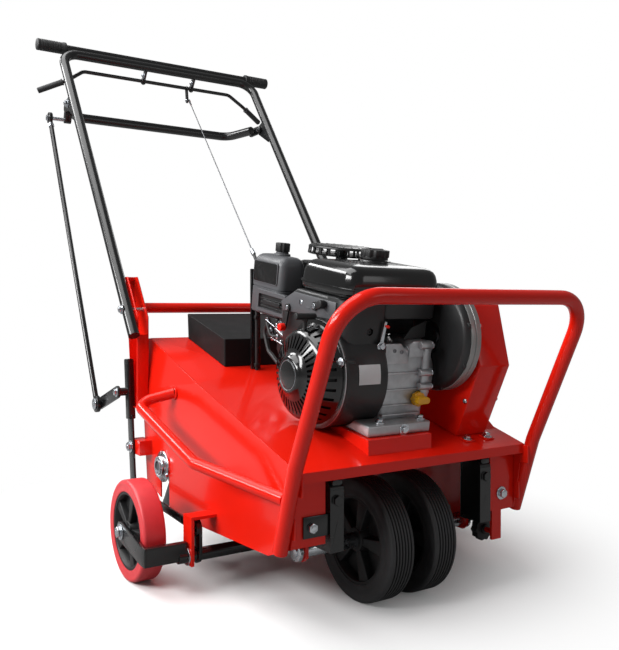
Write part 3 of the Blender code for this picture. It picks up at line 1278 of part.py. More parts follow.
def crankcase(frame):
    """Cast crankcase with its foot, side cover, cylinder block and carburettor."""
    case = box("crankcase", (CASE_IN_X, -0.075, BASE_B + 0.012), (0.060, 0.060, 0.058))
    soften(case, 0.010, 2)
    foot = box("foot", (CASE_IN_X - 0.050, BASE_FRONT, BASE_B), (0.058, BASE_REAR, BASE_B + FOOT_T))
    cut(foot, disc("housing_notch", HOUSING_R + 0.001, -0.2, HOUSING_IN_X + GAP, (0, 0, 0), "X", 32))
    cover = disc("cover", 0.070, 0.050, CASE_OUT_X, (0, 0, 0), "X", 24)
    block = box("block", (-0.036, 0.030, -0.040), (0.050, HEAD_END, 0.070))
    fuse(case, foot, cover, block)
    pipe = disc("pipe", 0.012, 0.140, 0.160, (-0.020, 0, 0.036), "Y", 12)
    body = soften(box("body", (-0.100, 0.154, 0.012), (-0.010, 0.200, 0.060)), 0.006, 1)
    bowl = disc("bowl", 0.018, -0.020, 0.020, (-0.081, 0.177, 0), "Z", 16)
    fuse(case, pipe, body, bowl)
    cut(case, disc("bore", CRANK_R + GAP, -0.06, 0.10, (0, 0, 0), "X", 16))
    cut(case, disc("oil_hole", 0.009 + GAP, -0.13, -0.058, (0.040, 0, -0.036), "Y", 12))
    return finish(case, "cast_aluminium", parent=frame, smooth=True)


def blower_housing(frame):
    """The fan housing: a deep pressed cup round the flywheel, with a shoulder over the cylinder."""
    wall = 0.003
    cup = disc("blower_housing", HOUSING_R, HOUSING_OUT_X, HOUSING_IN_X, (0, 0, 0), "X", 24)
    top = TANK_BOTTOM - GAP
    upper = plate("upper", [(-0.060, 0.030), (0.138, 0.030), (0.148, 0.110), (TANK_REAR - 0.01, top), (-0.060, top)],
                  HOUSING_OUT_X + 0.006, HOUSING_IN_X - 0.0005)
    fuse(cup, upper)
    hollow = disc("hollow", HOUSING_R - wall, HOUSING_OUT_X - 0.01, HOUSING_IN_X - wall, (0, 0, 0), "X", 24)
    upper_hollow = plate("upper_hollow", [(-0.055, 0.028), (0.133, 0.028), (0.143, 0.108),
                                          (TANK_REAR - 0.014, top - wall), (-0.055, top - wall)],
                         HOUSING_OUT_X + 0.006 + wall, HOUSING_IN_X - 0.0005 - wall)
    cut(cup, hollow, upper_hollow)
    cut(cup, disc("shaft_hole", CRANK_R + 0.010, HOUSING_IN_X - 0.02, HOUSING_IN_X + 0.02, (0, 0, 0), "X", 20))
    return finish(cup, "black_plastic", parent=frame, smooth=True)


def recoil_cover(frame):
    """The domed starter cover with its ring of long air slots."""
    face = HOUSING_OUT_X - GAP
    wall = 0.0035
    profile = [(face, HOUSING_R - 0.012), (face, HOUSING_R + 0.001), (face - 0.004, HOUSING_R + 0.001),
               (face - 0.010, RECOIL_R + 0.004), (face - 0.036, RECOIL_R - 0.006), (RECOIL_X + 0.008, 0.040),
               (RECOIL_X, 0.030), (RECOIL_X, 0), (RECOIL_X + wall, 0), (RECOIL_X + wall, 0.029),
               (RECOIL_X + 0.008 + wall, 0.038), (face - 0.034, RECOIL_R - 0.010), (face - 0.008, RECOIL_R)]
    cover = turned_closed("recoil_cover", profile, (0, 0, 0), "X", 20)
    slots = 8
    for i in range(slots):
        turn = Matrix.Rotation(2 * math.pi * i / slots, 4, "X")
        slot = box("slot", (RECOIL_X - 0.01, -0.004, 0.046), (RECOIL_X + 0.030, 0.004, RECOIL_R - 0.016))
        slot.data.transform(turn)
        cut(cover, slot)
    return finish(cover, "gloss_plastic", parent=frame, smooth=True)


def crankshaft(frame):
    """Crankshaft from the starter side to its pinion in the gear case, with flywheel and fan."""
    low = RECOIL_X + 0.024
    shaft = disc("crankshaft", CRANK_R, low, CASE_OUT_X + 0.030, (0, 0, 0), "X", 16)
    wheel = disc("flywheel", FLYWHEEL_R, HOUSING_OUT_X + 0.032, HOUSING_IN_X - 0.012, (0, 0, 0), "X", 24)
    pinion = disc("pinion", PINION_R, CASE_OUT_X + 0.010, CASE_OUT_X + 0.024, (0, 0, 0), "X", 16)
    fuse(shaft, wheel, pinion)
    fins = 6
    for i in range(fins):
        turn = Matrix.Rotation(2 * math.pi * i / fins, 4, "X")
        fin = box("fin", (HOUSING_OUT_X + 0.014, -0.0015, 0.045), (HOUSING_OUT_X + 0.034, 0.0015, FLYWHEEL_R - 0.004))
        fin.data.transform(turn)
        fuse(shaft, fin)
    return finish(shaft, "steel", parent=frame, smooth=True)


def gearcase(frame):
    """The round reduction gear case on the crankcase's output side."""
    low = CASE_OUT_X + GAP
    centre = (0, GEAR_A, GEAR_B)
    rim = 0.014
    profile = [(low, 0), (low, GEAR_R - 0.004), (low + 0.002, GEAR_R - 0.002), (GEAR_OUT_X - rim, GEAR_R - 0.002),
               (GEAR_OUT_X - rim, GEAR_R), (GEAR_OUT_X, GEAR_R), (GEAR_OUT_X, 0.040), (GEAR_OUT_X + 0.004, 0.034),
               (GEAR_OUT_X + 0.004, 0)]
    case = turned("gearcase", profile, centre, "X", 24)
    cut(case, disc("inside", GEAR_R - 0.002 - GEAR_WALL, low + GEAR_WALL, GEAR_OUT_X - GEAR_WALL, centre, "X", 24))
    cut(case, disc("crank_hole", CRANK_R + 0.001, low - 0.02, low + 0.02, (0, 0, 0), "X", 20))
    cut(case, disc("output_hole", OUTPUT_R + GAP, GEAR_OUT_X - 0.010, GEAR_OUT_X + 0.02, centre, "X", 16))
    return finish(case, "black_plastic", parent=frame, smooth=True)


def output_shaft(frame):
    """Output shaft with its large gear inside the gear case and the belt's drive pulley."""
    centre = (0, GEAR_A, GEAR_B)
    gear_r = math.hypot(GEAR_A, GEAR_B) - PINION_R - GEAR_MESH
    shaft = disc("output_shaft", OUTPUT_R, CASE_OUT_X + 0.008, ENGINE_BELT_X + BELT_W / 2 + 0.008, centre, "X", 16)
    gear = disc("gear", gear_r, CASE_OUT_X + 0.011, CASE_OUT_X + 0.023, centre, "X", 24)
    fuse(shaft, gear, pulley("pulley", DRIVE_PULLEY_R, ENGINE_BELT_X, centre))
    finish(shaft, "steel", parent=frame, smooth=True)
    return recentre(shaft, centre)


def recentre(obj, pivot):
    """Moves a child's origin onto its own axis without moving the piece."""
    obj.data.transform(Matrix.Translation(-Vector(pivot)))
    obj.location = pivot
    return obj


def fuel_tank(frame):
    """The moulded tank across the top of the engine, with a seam flange and a skirt down its front."""
    low = (TANK_RIGHT_X, TANK_FRONT, TANK_BOTTOM)
    high = (TANK_LEFT_X, TANK_REAR, TANK_TOP)
    tank = soften(box("fuel_tank", low, high), 0.018, 2)
    seam_z = TANK_BOTTOM + 0.014
    seam = box("seam", (low[0] - 0.003, low[1] - 0.003, seam_z), (high[0] + 0.003, high[1] + 0.003, seam_z + 0.004))
    skirt = box("skirt", (HOUSING_IN_X + GAP, TANK_FRONT + 0.002, HOUSING_R + 0.010),
                (0.071, -0.030, TANK_BOTTOM + 0.018))
    fuse(tank, seam, skirt)
    neck = disc("neck", 0.020, TANK_TOP - 0.010, TANK_TOP + 0.006, (0.021, 0.062, 0), "Z", 16)
    fuse(tank, neck)
    return finish(tank, "gloss_plastic", parent=frame, smooth=True)


def fuel_cap(frame):
    """The scalloped cap on the tank's neck."""
    centre = (0.021, 0.062, 0)
    base = TANK_TOP + 0.006 + GAP
    cap = scalloped("fuel_cap", 0.027, 0.0015, 12, base, base + 0.014, centre)
    skirt = ring("skirt", 0.0255, 0.0205 + GAP, base - 0.004, base + 0.001, centre, "Z", 16)
    fuse(cap, skirt)
    return recentre(finish(cap, "black_plastic", parent=frame, smooth=True), (0.021, 0.062, base))


def scalloped(name, radius, depth, lobes, low, high, centre):
    """A hand-turned cap or knob with a scalloped rim, along Z."""
    outline = []
    for i in range(lobes * 2):
        turn = 2 * math.pi * i / (lobes * 2)
        reach = radius + depth * math.cos(lobes * turn)
        outline.append((centre[0] + reach * math.cos(turn), centre[1] + reach * math.sin(turn)))
    return plate(name, outline, low, high, "Z")


def muffler(frame):
    """The silencer behind the cylinder, with its pipe and the slotted round heat guard above it."""
    body = soften(box("muffler", (-0.040, 0.158, 0.075), (0.085, 0.235, 0.180)), 0.012, 1)
    port = (0.030, 0, 0.057)
    pipe = disc("pipe", 0.011, HEAD_END + GAP, 0.180, port, "Y", 12)
    neck = box("neck", (port[0] - 0.012, 0.158, port[2] - 0.012), (port[0] + 0.012, 0.182, 0.085))
    fuse(body, pipe, neck)
    centre = (0.022, 0.171, 0)
    base = 0.196
    profile = [(base, 0.060), (base, 0.069), (base + 0.012, 0.069), (base + 0.020, 0.060), (base + 0.020, 0),
               (base + 0.016, 0), (base + 0.016, 0.058), (base + 0.010, 0.0655), (base + 0.004, 0.0655),
               (base + 0.003, 0.060)]
    guard = turned_closed("guard", profile, centre, "Z", 18)
    slots = 6
    for i in range(slots):
        turn = Matrix.Rotation(2 * math.pi * i / slots, 4, "Z")
        slot = box("slot", (0.026, -0.004, base + 0.010), (0.054, 0.004, base + 0.030))
        slot.data.transform(Matrix.Translation(centre) @ turn)
        cut(guard, slot)
    post = disc("post", 0.012, 0.175, base + 0.018, centre, "Z", 12)
    fuse(body, post, guard)
    return finish(body, "gloss_plastic", parent=frame, smooth=True)


def air_cleaner(frame):
    """The air cleaner on the engine's right rear, above the carburettor, with its stud boss."""
    body = soften(box("air_cleaner", (-0.110, 0.182, 0.066), (-0.050, 0.300, 0.186)), 0.014, 2)
    boss = disc("boss", 0.013, 0.180, 0.193, (-0.078, 0.236, 0), "Z", 14)
    elbow = box("elbow", (-0.100, 0.160, 0.0603), (-0.056, 0.196, 0.100))
    fuse(body, boss, elbow)
    return finish(body, "grey_plastic", parent=frame, smooth=True)


def cleaner_knob(frame):
    """The knob that holds the air cleaner's cover."""
    centre = (-0.078, 0.236, 0)
    knob = scalloped("cleaner_knob", 0.0145, 0.001, 10, 0.193 + GAP, 0.211, centre)
    return recentre(finish(knob, "black_plastic", parent=frame, smooth=True), (-0.078, 0.236, 0.193))


def control_panel(frame):
    """The grey panel on the blower housing's shoulder, with a post for each lever."""
    x = HOUSING_OUT_X + 0.006 - GAP
    low, high = HOUSING_R + 0.006, TANK_BOTTOM - 0.008
    outline = [(-0.040, low), (0.130, low - 0.010), (0.140, low + 0.006), (0.096, high), (-0.040, high)]
    panel = plate("control_panel", outline, x - 0.004, x)
    for a, b in LEVER_POSTS:
        fuse(panel, disc("post", PIN_R, x - 0.010, x - 0.002, (0, a, b), "X", 12))
    return finish(panel, "grey_plastic", parent=frame, smooth=True)


def small_lever(name, frame, post, length, turn, paint):
    """A short hand lever on a post of the control panel."""
    x = HOUSING_OUT_X + 0.006 - GAP - 0.004
    a, b = LEVER_POSTS[post]
    tip = (a + length * math.cos(turn), b + length * math.sin(turn))
    lever = plate(name, strap((a, b), tip, 0.008), x - 0.004, x - GAP)
    fuse(lever, disc("tab", 0.0075, x - 0.014, x - 0.002, (0, *tip), "X", 12))
    cut(lever, disc("bore", PIN_R + GAP, x - 0.03, x + 0.02, (0, a, b), "X", 12))
    return recentre(finish(lever, paint, parent=frame, smooth=True), (0, a, b))


def oil_cap(frame):
    """The yellow filler plug low on the crankcase's front."""
    centre = (0.040, 0, -0.036)
    seat = -0.075 - GAP
    cap = disc("oil_cap", 0.014, seat - 0.010, seat, centre, "Y", 16)
    wing = box("wing", (0.040 - 0.012, seat - 0.022, -0.039), (0.040 + 0.012, seat - 0.008, -0.033))
    plug = disc("plug", 0.009, seat - 0.002, seat + 0.012, centre, "Y", 12)
    fuse(cap, wing, plug)
    return recentre(finish(cap, "yellow_plastic", parent=frame, smooth=True), (0.040, seat, -0.036))


def recoil_grip(frame):
    """The starter's pull grip on top of its cover."""
    face = HOUSING_OUT_X - GAP
    share = (face - 0.010 - RECOIL_GRIP_X - 0.0035) / 0.026
    seat = RECOIL_R + 0.004 - 0.010 * share + 2 * GAP
    b = seat + 0.021
    made = tube("recoil_grip", [(RECOIL_GRIP_X - 0.022, 0, b), (RECOIL_GRIP_X + 0.016, 0, b)], 0.006, resolution=2)
    fuse(made, disc("stem", 0.0035, seat, b, (RECOIL_GRIP_X, 0, 0), "Z", 10))
    return recentre(finish(made, "black_plastic", parent=frame, smooth=True), (RECOIL_GRIP_X, 0, seat))


def ballast_box():
    """The black sheet box with a sloping top on the rear of the deck, open below."""
    def side(wall):
        front, rear = BOX_FRONT_Y + wall, BOX_REAR_Y - wall
        foot = GAP if not wall else -0.01
        return [(front, deck_z(front) + foot), (rear, deck_z(rear) + foot),
                (rear + 0.004, deck_z(rear) + 0.056 - wall), (front, deck_z(front) + 0.058 - wall)]
    made = plate("ballast_box", side(0), BOX_RIGHT_X, BOX_LEFT_X)
    cut(made, plate("inside", side(BOX_WALL), BOX_RIGHT_X + BOX_WALL, BOX_LEFT_X - BOX_WALL))
    return finish(made, "black_paint")


def cable_top():
    return Vector((CLUTCH_ARM_X + 0.002 + 6 * GAP + 0.0035, CLUTCH_ARM_Y, CLUTCH_ARM_Z))


def cable_way():
    return (Vector((CABLE_FOOT_X, CABLE_FOOT_Y, CABLE_FOOT_Z)) - cable_top()).normalized()


def cable_corner():
    """Where the sheath turns down to the deck."""
    return Vector((CABLE_FOOT_X, CABLE_FOOT_Y, CABLE_FOOT_Z)) + cable_way() * 0.044


def clutch_wire():
    """The bare clutch wire, from its barrel beside the bail's arm down into the sheath."""
    top, way = cable_top(), cable_way()
    foot = Vector((CABLE_FOOT_X, CABLE_FOOT_Y, CABLE_FOOT_Z)) + way * 0.032
    wire = tube("clutch_wire", [top - way * 0.004, foot], WIRE_R, resolution=2)
    fuse(wire, tube("barrel", [top - way * 0.006, top + way * 0.006], 0.0035, resolution=2))
    return finish(wire, "steel", smooth=True)


def clutch_sheath():
    """The cable's sheath, from its open top down through the deck and under it to the idler's hanger."""
    way, corner = cable_way(), cable_corner()
    start = Vector((CABLE_FOOT_X, CABLE_FOOT_Y, CABLE_FOOT_Z))
    pivot, _ = idler_points()
    under = deck_z(corner.y) - 0.030
    last_x = hanger_face() - SHEATH_R - GAP
    route = [start, corner, (corner.x, corner.y, under), (last_x, corner.y - 0.030, under - 0.012),
             (last_x, pivot[0] + 0.010, pivot[1] - 0.004)]
    sheath = tube("clutch_sheath", route, SHEATH_R, bend=0.014, resolution=2, steps=4)
    cut(sheath, tube("bore", [start - way * 0.01, start + way * 0.034], WIRE_R + GAP * 2, resolution=2))
    return finish(sheath, "rubber", smooth=True)


def cable_anchor():
    """The strip that stands on the deck behind the air cleaner and holds the sheath."""
    corner = cable_corner()
    face = corner.y + SHEATH_R + GAP
    base = deck_z(face) - 0.001
    return box("cable_anchor", (corner.x - 0.010, face, base), (corner.x + 0.010, face + 0.003, corner.z - 0.018))


def main():
    clear_scene()
    housing_deck()
    front_guard_hoop()
    handle_mount()
    handle_frame()
    carriage = wheel_carriage()
    for side in (RIGHT, LEFT):
        side_plate(side)
        side_guard(side)
        grip(side)
        front_wheel(side)
        rear_wheel(side, carriage)
        fork_channel(side)
        bearing_flange(side)
    front_axle()
    depth_knob()
    clutch_bail()
    clutch_wire()
    clutch_sheath()
    lift_bail()
    lift_rod()
    lift_lever()
    lift_link()
    reel = tine_shaft()
    for index in range(SPOOLS):
        tine_spool(index, reel)
    engine_riser()
    frame = engine_frame()
    crankcase(frame)
    blower_housing(frame)
    recoil_cover(frame)
    crankshaft(frame)
    gearcase(frame)
    output_shaft(frame)
    fuel_tank(frame)
    fuel_cap(frame)
    muffler(frame)
    air_cleaner(frame)
    cleaner_knob(frame)
    control_panel(frame)
    small_lever("throttle_lever", frame, 0, 0.030, math.radians(165), "black_plastic")
    small_lever("choke_lever", frame, 1, 0.038, math.radians(-81), "red_paint")
    oil_cap(frame)
    recoil_grip(frame)
    belt_cover()
    jackshaft()
    idler_pulley(idler_arm())
    drive_belt()
    drive_chain()
    ballast_box()


main()
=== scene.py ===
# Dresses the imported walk-behind lawn aerator:
# enamelled sheet, bent tubes, moulded engine covers, tyres and drive.
# Metres, +Z up, the machine's front towards -Y, the operator's left towards +X.
import math

import bmesh
import bpy
from mathutils import Matrix, Vector


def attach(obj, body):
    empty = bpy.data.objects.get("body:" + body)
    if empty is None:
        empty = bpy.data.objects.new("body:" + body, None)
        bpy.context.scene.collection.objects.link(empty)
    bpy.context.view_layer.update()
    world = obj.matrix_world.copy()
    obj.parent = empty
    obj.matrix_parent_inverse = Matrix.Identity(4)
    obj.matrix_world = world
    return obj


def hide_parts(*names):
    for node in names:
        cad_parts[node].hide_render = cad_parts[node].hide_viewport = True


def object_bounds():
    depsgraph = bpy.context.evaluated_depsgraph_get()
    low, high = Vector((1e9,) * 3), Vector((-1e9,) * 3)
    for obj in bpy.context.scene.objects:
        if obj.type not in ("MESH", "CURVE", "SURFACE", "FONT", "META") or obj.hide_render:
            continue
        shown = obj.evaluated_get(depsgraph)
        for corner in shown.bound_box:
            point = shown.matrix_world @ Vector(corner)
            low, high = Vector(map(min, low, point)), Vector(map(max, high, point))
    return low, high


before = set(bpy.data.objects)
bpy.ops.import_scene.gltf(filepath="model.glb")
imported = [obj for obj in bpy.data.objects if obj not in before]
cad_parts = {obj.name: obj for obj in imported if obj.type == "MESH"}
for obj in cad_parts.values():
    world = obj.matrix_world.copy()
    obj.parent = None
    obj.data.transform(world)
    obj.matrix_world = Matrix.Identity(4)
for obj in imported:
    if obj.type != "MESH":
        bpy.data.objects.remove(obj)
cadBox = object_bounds()
right, left = -1, 1
forward = 0, -1, 0
sideWord = {right: "right", left: "left"}
axisVector = {"X": Vector((1, 0, 0)), "Y": Vector((0, 1, 0)), "Z": Vector((0, 0, 1))}
print("frame loaded:", len(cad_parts), "nodes")


# Materials: every pattern reads Object coordinates, so its scale is one over a size in metres.
def toLinear(code):
    parts = [int(code[i:i + 2], 16) / 255 for i in (0, 2, 4)]
    return *(c / 12.92 if c <= 0.04045 else ((c + 0.055) / 1.055) ** 2.4 for c in parts), 1.0


def addNode(tree, kind, settings=None, links=None):
    node = tree.nodes.new("ShaderNode" + kind)
    for key, value in (settings or {}).items():
        if isinstance(key, int) or key in node.inputs:
            node.inputs[key].default_value = value
        else:
            setattr(node, key, value)
    for key, source in (links or {}).items():
        tree.links.new(source, node.inputs[key])
    return node


# tone: light and dark sRGB of the surface, blotch: size of its slow colour change in mm
# grain: size of the surface texture in mm, relief: its height in mm, wear: spread of the roughness
plainFinish = {"wear": 0.1, "metal": 0.0, "relief": 0.05, "coat": 0.0, "coatRough": 0.3, "ior": 1.5}
finishes = {
    # stoved gloss enamel on pressed sheet: wet highlights, an orange peel drawn coarser than real
    "signalRedEnamel": {"tone": ("E8200F", "E01B0D"), "blotch": 160, "rough": 0.19, "wear": 0.02,
        "grain": 7.0, "relief": 0.01, "coat": 0.2, "coatRough": 0.05, "ior": 1.3},
    # powder coat on bent steel tube: even satin black with a fine peel
    "blackPowderCoat": {"tone": ("101112", "0C0D0E"), "blotch": 90, "rough": 0.26, "wear": 0.08,
        "grain": 4.0, "relief": 0.003, "coat": 0.25, "coatRough": 0.15},
    # glass-filled nylon, spark-eroded mould: a dry dark grey with a leathery grain
    "shroudNylon": {"tone": ("242526", "1C1D1E"), "blotch": 60, "rough": 0.38, "grain": 2.2, "ior": 1.49},
    # polished-mould polyethylene tank: deep gloss black
    "tankPolyethylene": {"tone": ("090909", "0D0D0E"), "blotch": 80, "rough": 0.17, "wear": 0.06,
        "grain": 9.0, "relief": 0.03, "coat": 0.35, "coatRough": 0.08, "ior": 1.51},
    # rotation-moulded polyethylene of the ballast box: dry black with a leathery grain, little sheen
    "grainedPolyethylene": {"tone": ("0F0F10", "0B0B0C"), "blotch": 45, "rough": 0.62, "grain": 2.4,
        "relief": 0.06, "ior": 1.34},
    # charcoal polypropylene of the filter cover and control panel: soft mid-grey sheen
    "charcoalPolypropylene": {"tone": ("56575A", "48494C"), "blotch": 50, "rough": 0.42, "grain": 1.8,
        "relief": 0.04, "ior": 1.49},
    # wheel cores moulded in recycled polypropylene: dull black with flow marks
    "corePolypropylene": {"tone": ("141415", "1B1B1C"), "blotch": 25, "rough": 0.5, "wear": 0.12,
        "grain": 3.0, "ior": 1.49},
    # die-cast aluminium, shot-blasted: pale grey with a sandy grain
    "dieCastAluminium": {"tone": ("BFC1C3", "A0A2A5"), "blotch": 14, "rough": 0.4, "wear": 0.14,
        "metal": 0.75, "grain": 1.6, "relief": 0.1},
    # machined aluminium rim of the gear case: satin grey, with turning marks
    "machinedAluminium": {"tone": ("A0A1A0", "8C8D8C"), "blotch": 40, "rough": 0.42, "wear": 0.08,
        "metal": 0.6, "grain": 1.2, "relief": 0.03},
    # bright zinc plate on bolts and collars: bluish silver, slightly clouded
    "brightZinc": {"tone": ("D2D6DA", "B6BAC0"), "blotch": 9, "rough": 0.24, "metal": 1.0, "grain": 2.0,
        "relief": 0.02},
    # heat-treated steel of the coring tines and shafts: grey with mill marks
    "temperedSteel": {"tone": ("8E8F92", "6B6C6F"), "blotch": 30, "rough": 0.38, "wear": 0.15,
        "metal": 1.0, "grain": 2.5, "relief": 0.06},
    # oiled roller chain: dark, greasy steel
    "oiledSteel": {"tone": ("4A4946", "2F2E2C"), "blotch": 12, "rough": 0.32, "wear": 0.15, "metal": 0.9,
        "grain": 1.5, "coat": 0.1, "coatRough": 0.2},
    # cured black tyre rubber: charcoal grey with a dusty bloom
    "tyreRubber": {"tone": ("232324", "2F2F31"), "blotch": 22, "rough": 0.5, "wear": 0.16, "grain": 1.6,
        "relief": 0.06, "ior": 1.52},
    # soft vinyl of the hand grips and cable sheath: matt black
    "gripVinyl": {"tone": ("161718", "1E1F20"), "blotch": 15, "rough": 0.55, "grain": 1.4, "ior": 1.52},
    # cast polyurethane tread: waxy cherry red, paler where it is rubbed
    "castPolyurethane": {"tone": ("E04046", "CC3238"), "blotch": 26, "rough": 0.44, "grain": 3.5,
        "coat": 0.12},
    # yellow nylon of the filler plug
    "yellowNylon": {"tone": ("F0B400", "E2A500"), "blotch": 20, "rough": 0.3, "wear": 0.06, "grain": 2.0,
        "relief": 0.03, "coat": 0.2, "coatRough": 0.15, "ior": 1.53},
    # satin foil plates where the real machine has its labels, left bare
    "satinPlate": {"tone": ("D9DBDC", "CCCED0"), "blotch": 30, "rough": 0.38, "wear": 0.05,
        "metal": 0.15, "grain": 3.0, "relief": 0.01, "coat": 0.2, "coatRough": 0.2},
}


def makeFinish(name):
    found = bpy.data.materials.get(name)
    if found:
        return found
    spec = {**plainFinish, **finishes[name]}
    made = bpy.data.materials.new(name)
    made.use_nodes = True
    tree = made.node_tree
    tree.nodes.clear()
    place = addNode(tree, "TexCoord").outputs["Object"]
    slow = addNode(tree, "TexNoise", {"Scale": 1000 / spec["blotch"], "Detail": 3.0}, {"Vector": place})
    fine = addNode(tree, "TexNoise", {"Scale": 1000 / spec["grain"], "Detail": 2.0}, {"Vector": place})
    tint = addNode(tree, "Mix", {"data_type": "RGBA"}, {0: slow.outputs["Fac"]})
    tint.inputs[6].default_value = toLinear(spec["tone"][0])
    tint.inputs[7].default_value = toLinear(spec["tone"][1])
    low, high = spec["rough"] - spec["wear"] / 2, spec["rough"] + spec["wear"] / 2
    polish = addNode(tree, "MapRange",
        {"interpolation_type": "SMOOTHSTEP", "From Min": 0.3, "From Max": 0.7, "To Min": low,
            "To Max": high}, {"Value": slow.outputs["Fac"]})
    relief = addNode(tree, "Bump", {"Strength": 0.6, "Distance": spec["relief"] / 1000},
        {"Height": fine.outputs["Fac"]})
    shader = addNode(tree, "BsdfPrincipled",
        {"Metallic": spec["metal"], "Coat Weight": spec["coat"], "Coat Roughness": spec["coatRough"],
            "IOR": spec["ior"]},
        {"Base Color": tint.outputs[2], "Roughness": polish.outputs["Result"],
            "Normal": relief.outputs["Normal"]})
    addNode(tree, "OutputMaterial", None, {"Surface": shader.outputs["BSDF"]})
    made.diffuse_color = toLinear(spec["tone"][0])
    return made


# Shapes: each function returns a bmesh, and buildPiece joins them into one object at the origin.
# bevelAngle: edges sharper than this are bevelled, creaseAngle: edges sharper than this stay unsmoothed
# mergeReach: corners nearer than this are one, hexCorner: corner radius over the width across flats
bevelAngle, creaseAngle, mergeReach, hexCorner = 30, 35, 1e-6, 0.577


def finishShape(shape):
    bmesh.ops.recalc_face_normals(shape, faces=shape.faces)
    return shape


def soften(shape, width, segments=3):
    sharp = [e for e in shape.edges if e.calc_face_angle(0) > math.radians(bevelAngle)]
    bmesh.ops.bevel(shape, geom=sharp, offset=width, offset_type="OFFSET", affect="EDGES",
        segments=segments, profile=0.5, material=-1, clamp_overlap=True)
    return shape


def span(side, inner, outer):
    return sorted((side * inner, side * outer))


def polar(radius, turn, centre=(0, 0)):
    return centre[0] + radius * math.cos(turn), centre[1] + radius * math.sin(turn)


def bothSides(half):
    return [Vector((-x, y, z)) for x, y, z in half] + [Vector(p) for p in reversed(half)]


def block(low, high, bevel=0.0, segments=3):
    shape = bmesh.new()
    bmesh.ops.create_cube(shape, size=1.0)
    size = Vector(high) - Vector(low)
    bmesh.ops.scale(shape, vec=size, verts=shape.verts)
    bmesh.ops.translate(shape, vec=(Vector(low) + Vector(high)) / 2, verts=shape.verts)
    if bevel:
        soften(shape, bevel, segments)
    return finishShape(shape)


def slab(outline, low, high, bevel=0.0, segments=2, axis="X"):
    order = {"X": (2, 0, 1), "Y": (0, 2, 1), "Z": (0, 1, 2)}[axis]
    shape = bmesh.new()
    corners = []
    for first, second in outline:
        point = first, second, low
        corners.append(shape.verts.new([point[order[i]] for i in range(3)]))
    face = shape.faces.new(corners)
    grown = bmesh.ops.extrude_face_region(shape, geom=[face])
    moved = [item for item in grown["geom"] if isinstance(item, bmesh.types.BMVert)]
    bmesh.ops.translate(shape, verts=moved, vec=axisVector[axis] * (high - low))
    bmesh.ops.recalc_face_normals(shape, faces=shape.faces)
    if bevel:
        soften(shape, bevel, segments)
    return finishShape(shape)


def spun(profile, axis="X", centre=(0, 0, 0), steps=72):
    along = axisVector[axis]
    across = axisVector["X"] if axis == "Z" else axisVector["Z"]
    shape = bmesh.new()
    ring = [shape.verts.new(along * u + across * r) for u, r in profile]
    edges = [shape.edges.new((ring[i], ring[i + 1])) for i in range(len(ring) - 1)]
    if max(profile[0][1], profile[-1][1]) > mergeReach:
        edges.append(shape.edges.new((ring[-1], ring[0])))
    bmesh.ops.spin(shape, geom=ring + edges, cent=(0, 0, 0), axis=along, dvec=(0, 0, 0), angle=2 * math.pi,
        steps=steps, use_merge=True)
    bmesh.ops.remove_doubles(shape, verts=shape.verts, dist=mergeReach)
    bmesh.ops.translate(shape, verts=shape.verts, vec=centre)
    return finishShape(shape)


def drum(radius, low, high, axis="X", centre=(0, 0, 0), bevel=0.0, steps=48, bore=0.0):
    arc = [(bevel * (1 - math.cos(a)), bevel * (1 - math.sin(a))) for a in (0, 0.52, 1.05, math.pi / 2)]
    if not bevel:
        arc = [(0, 0)]
    outer = [(low + d, radius - s) for d, s in arc] + [(high - d, radius - s) for d, s in reversed(arc)]
    return spun([(low, bore)] + outer + [(high, bore)], axis, centre, steps)


def pin(radius, low, high, centre, bevel=0.0, steps=48, bore=0.0):
    return drum(radius, low, high, "X", (0, *centre), bevel, steps, bore)


def rounded(points, bend, steps=10):
    points = [Vector(p) for p in points]
    route = [points[0]]
    for before, corner, after in zip(points, points[1:], points[2:]):
        back, ahead = (before - corner).normalized(), (after - corner).normalized()
        turn = math.pi - back.angle(ahead)
        if turn < 0.0001:
            route.append(corner)
            continue
        reach = min(bend * math.tan(turn / 2), 0.45 * (before - corner).length,
            0.45 * (after - corner).length)
        centre = corner + (back + ahead).normalized() * (reach / math.tan(turn / 2) / math.cos(turn / 2))
        start = corner + back * reach - centre
        axis = start.cross(corner + ahead * reach - centre).normalized()
        route += [centre + Matrix.Rotation(turn * i / steps, 3, axis) @ start for i in range(steps + 1)]
    route.append(points[-1])
    return route


def pipe(points, radius, bend=0.0, steps=10, sides=24):
    curve = bpy.data.curves.new("route", "CURVE")
    curve.dimensions = "3D"
    curve.bevel_depth = radius
    curve.bevel_resolution = (sides - 4) // 2
    curve.use_fill_caps = True
    route = rounded(points, bend, steps) if bend else [Vector(p) for p in points]
    spline = curve.splines.new("POLY")
    spline.points.add(len(route) - 1)
    for slot, co in zip(spline.points, route):
        slot.co = *co, 1.0
    temp = bpy.data.objects.new("route", curve)
    bpy.context.scene.collection.objects.link(temp)
    mesh = bpy.data.meshes.new_from_object(temp.evaluated_get(bpy.context.evaluated_depsgraph_get()))
    bpy.data.objects.remove(temp, do_unlink=True)
    shape = bmesh.new()
    shape.from_mesh(mesh)
    bpy.data.meshes.remove(mesh)
    bpy.data.curves.remove(curve)
    for face in shape.faces:
        face.material_index = 0
    bmesh.ops.remove_doubles(shape, verts=shape.verts, dist=mergeReach)
    return finishShape(shape)


def turnTo(shape, direction, place):
    direction = Vector(direction).normalized()
    matrix = Matrix.Translation(place) @ direction.to_track_quat("Z", "Y").to_matrix().to_4x4()
    bmesh.ops.transform(shape, matrix=matrix, verts=shape.verts)
    return shape


def joined(*shapes):
    whole = bmesh.new()
    for shape in shapes:
        temp = bpy.data.meshes.new("temp")
        shape.to_mesh(temp)
        shape.free()
        whole.from_mesh(temp)
        bpy.data.meshes.remove(temp)
    return whole


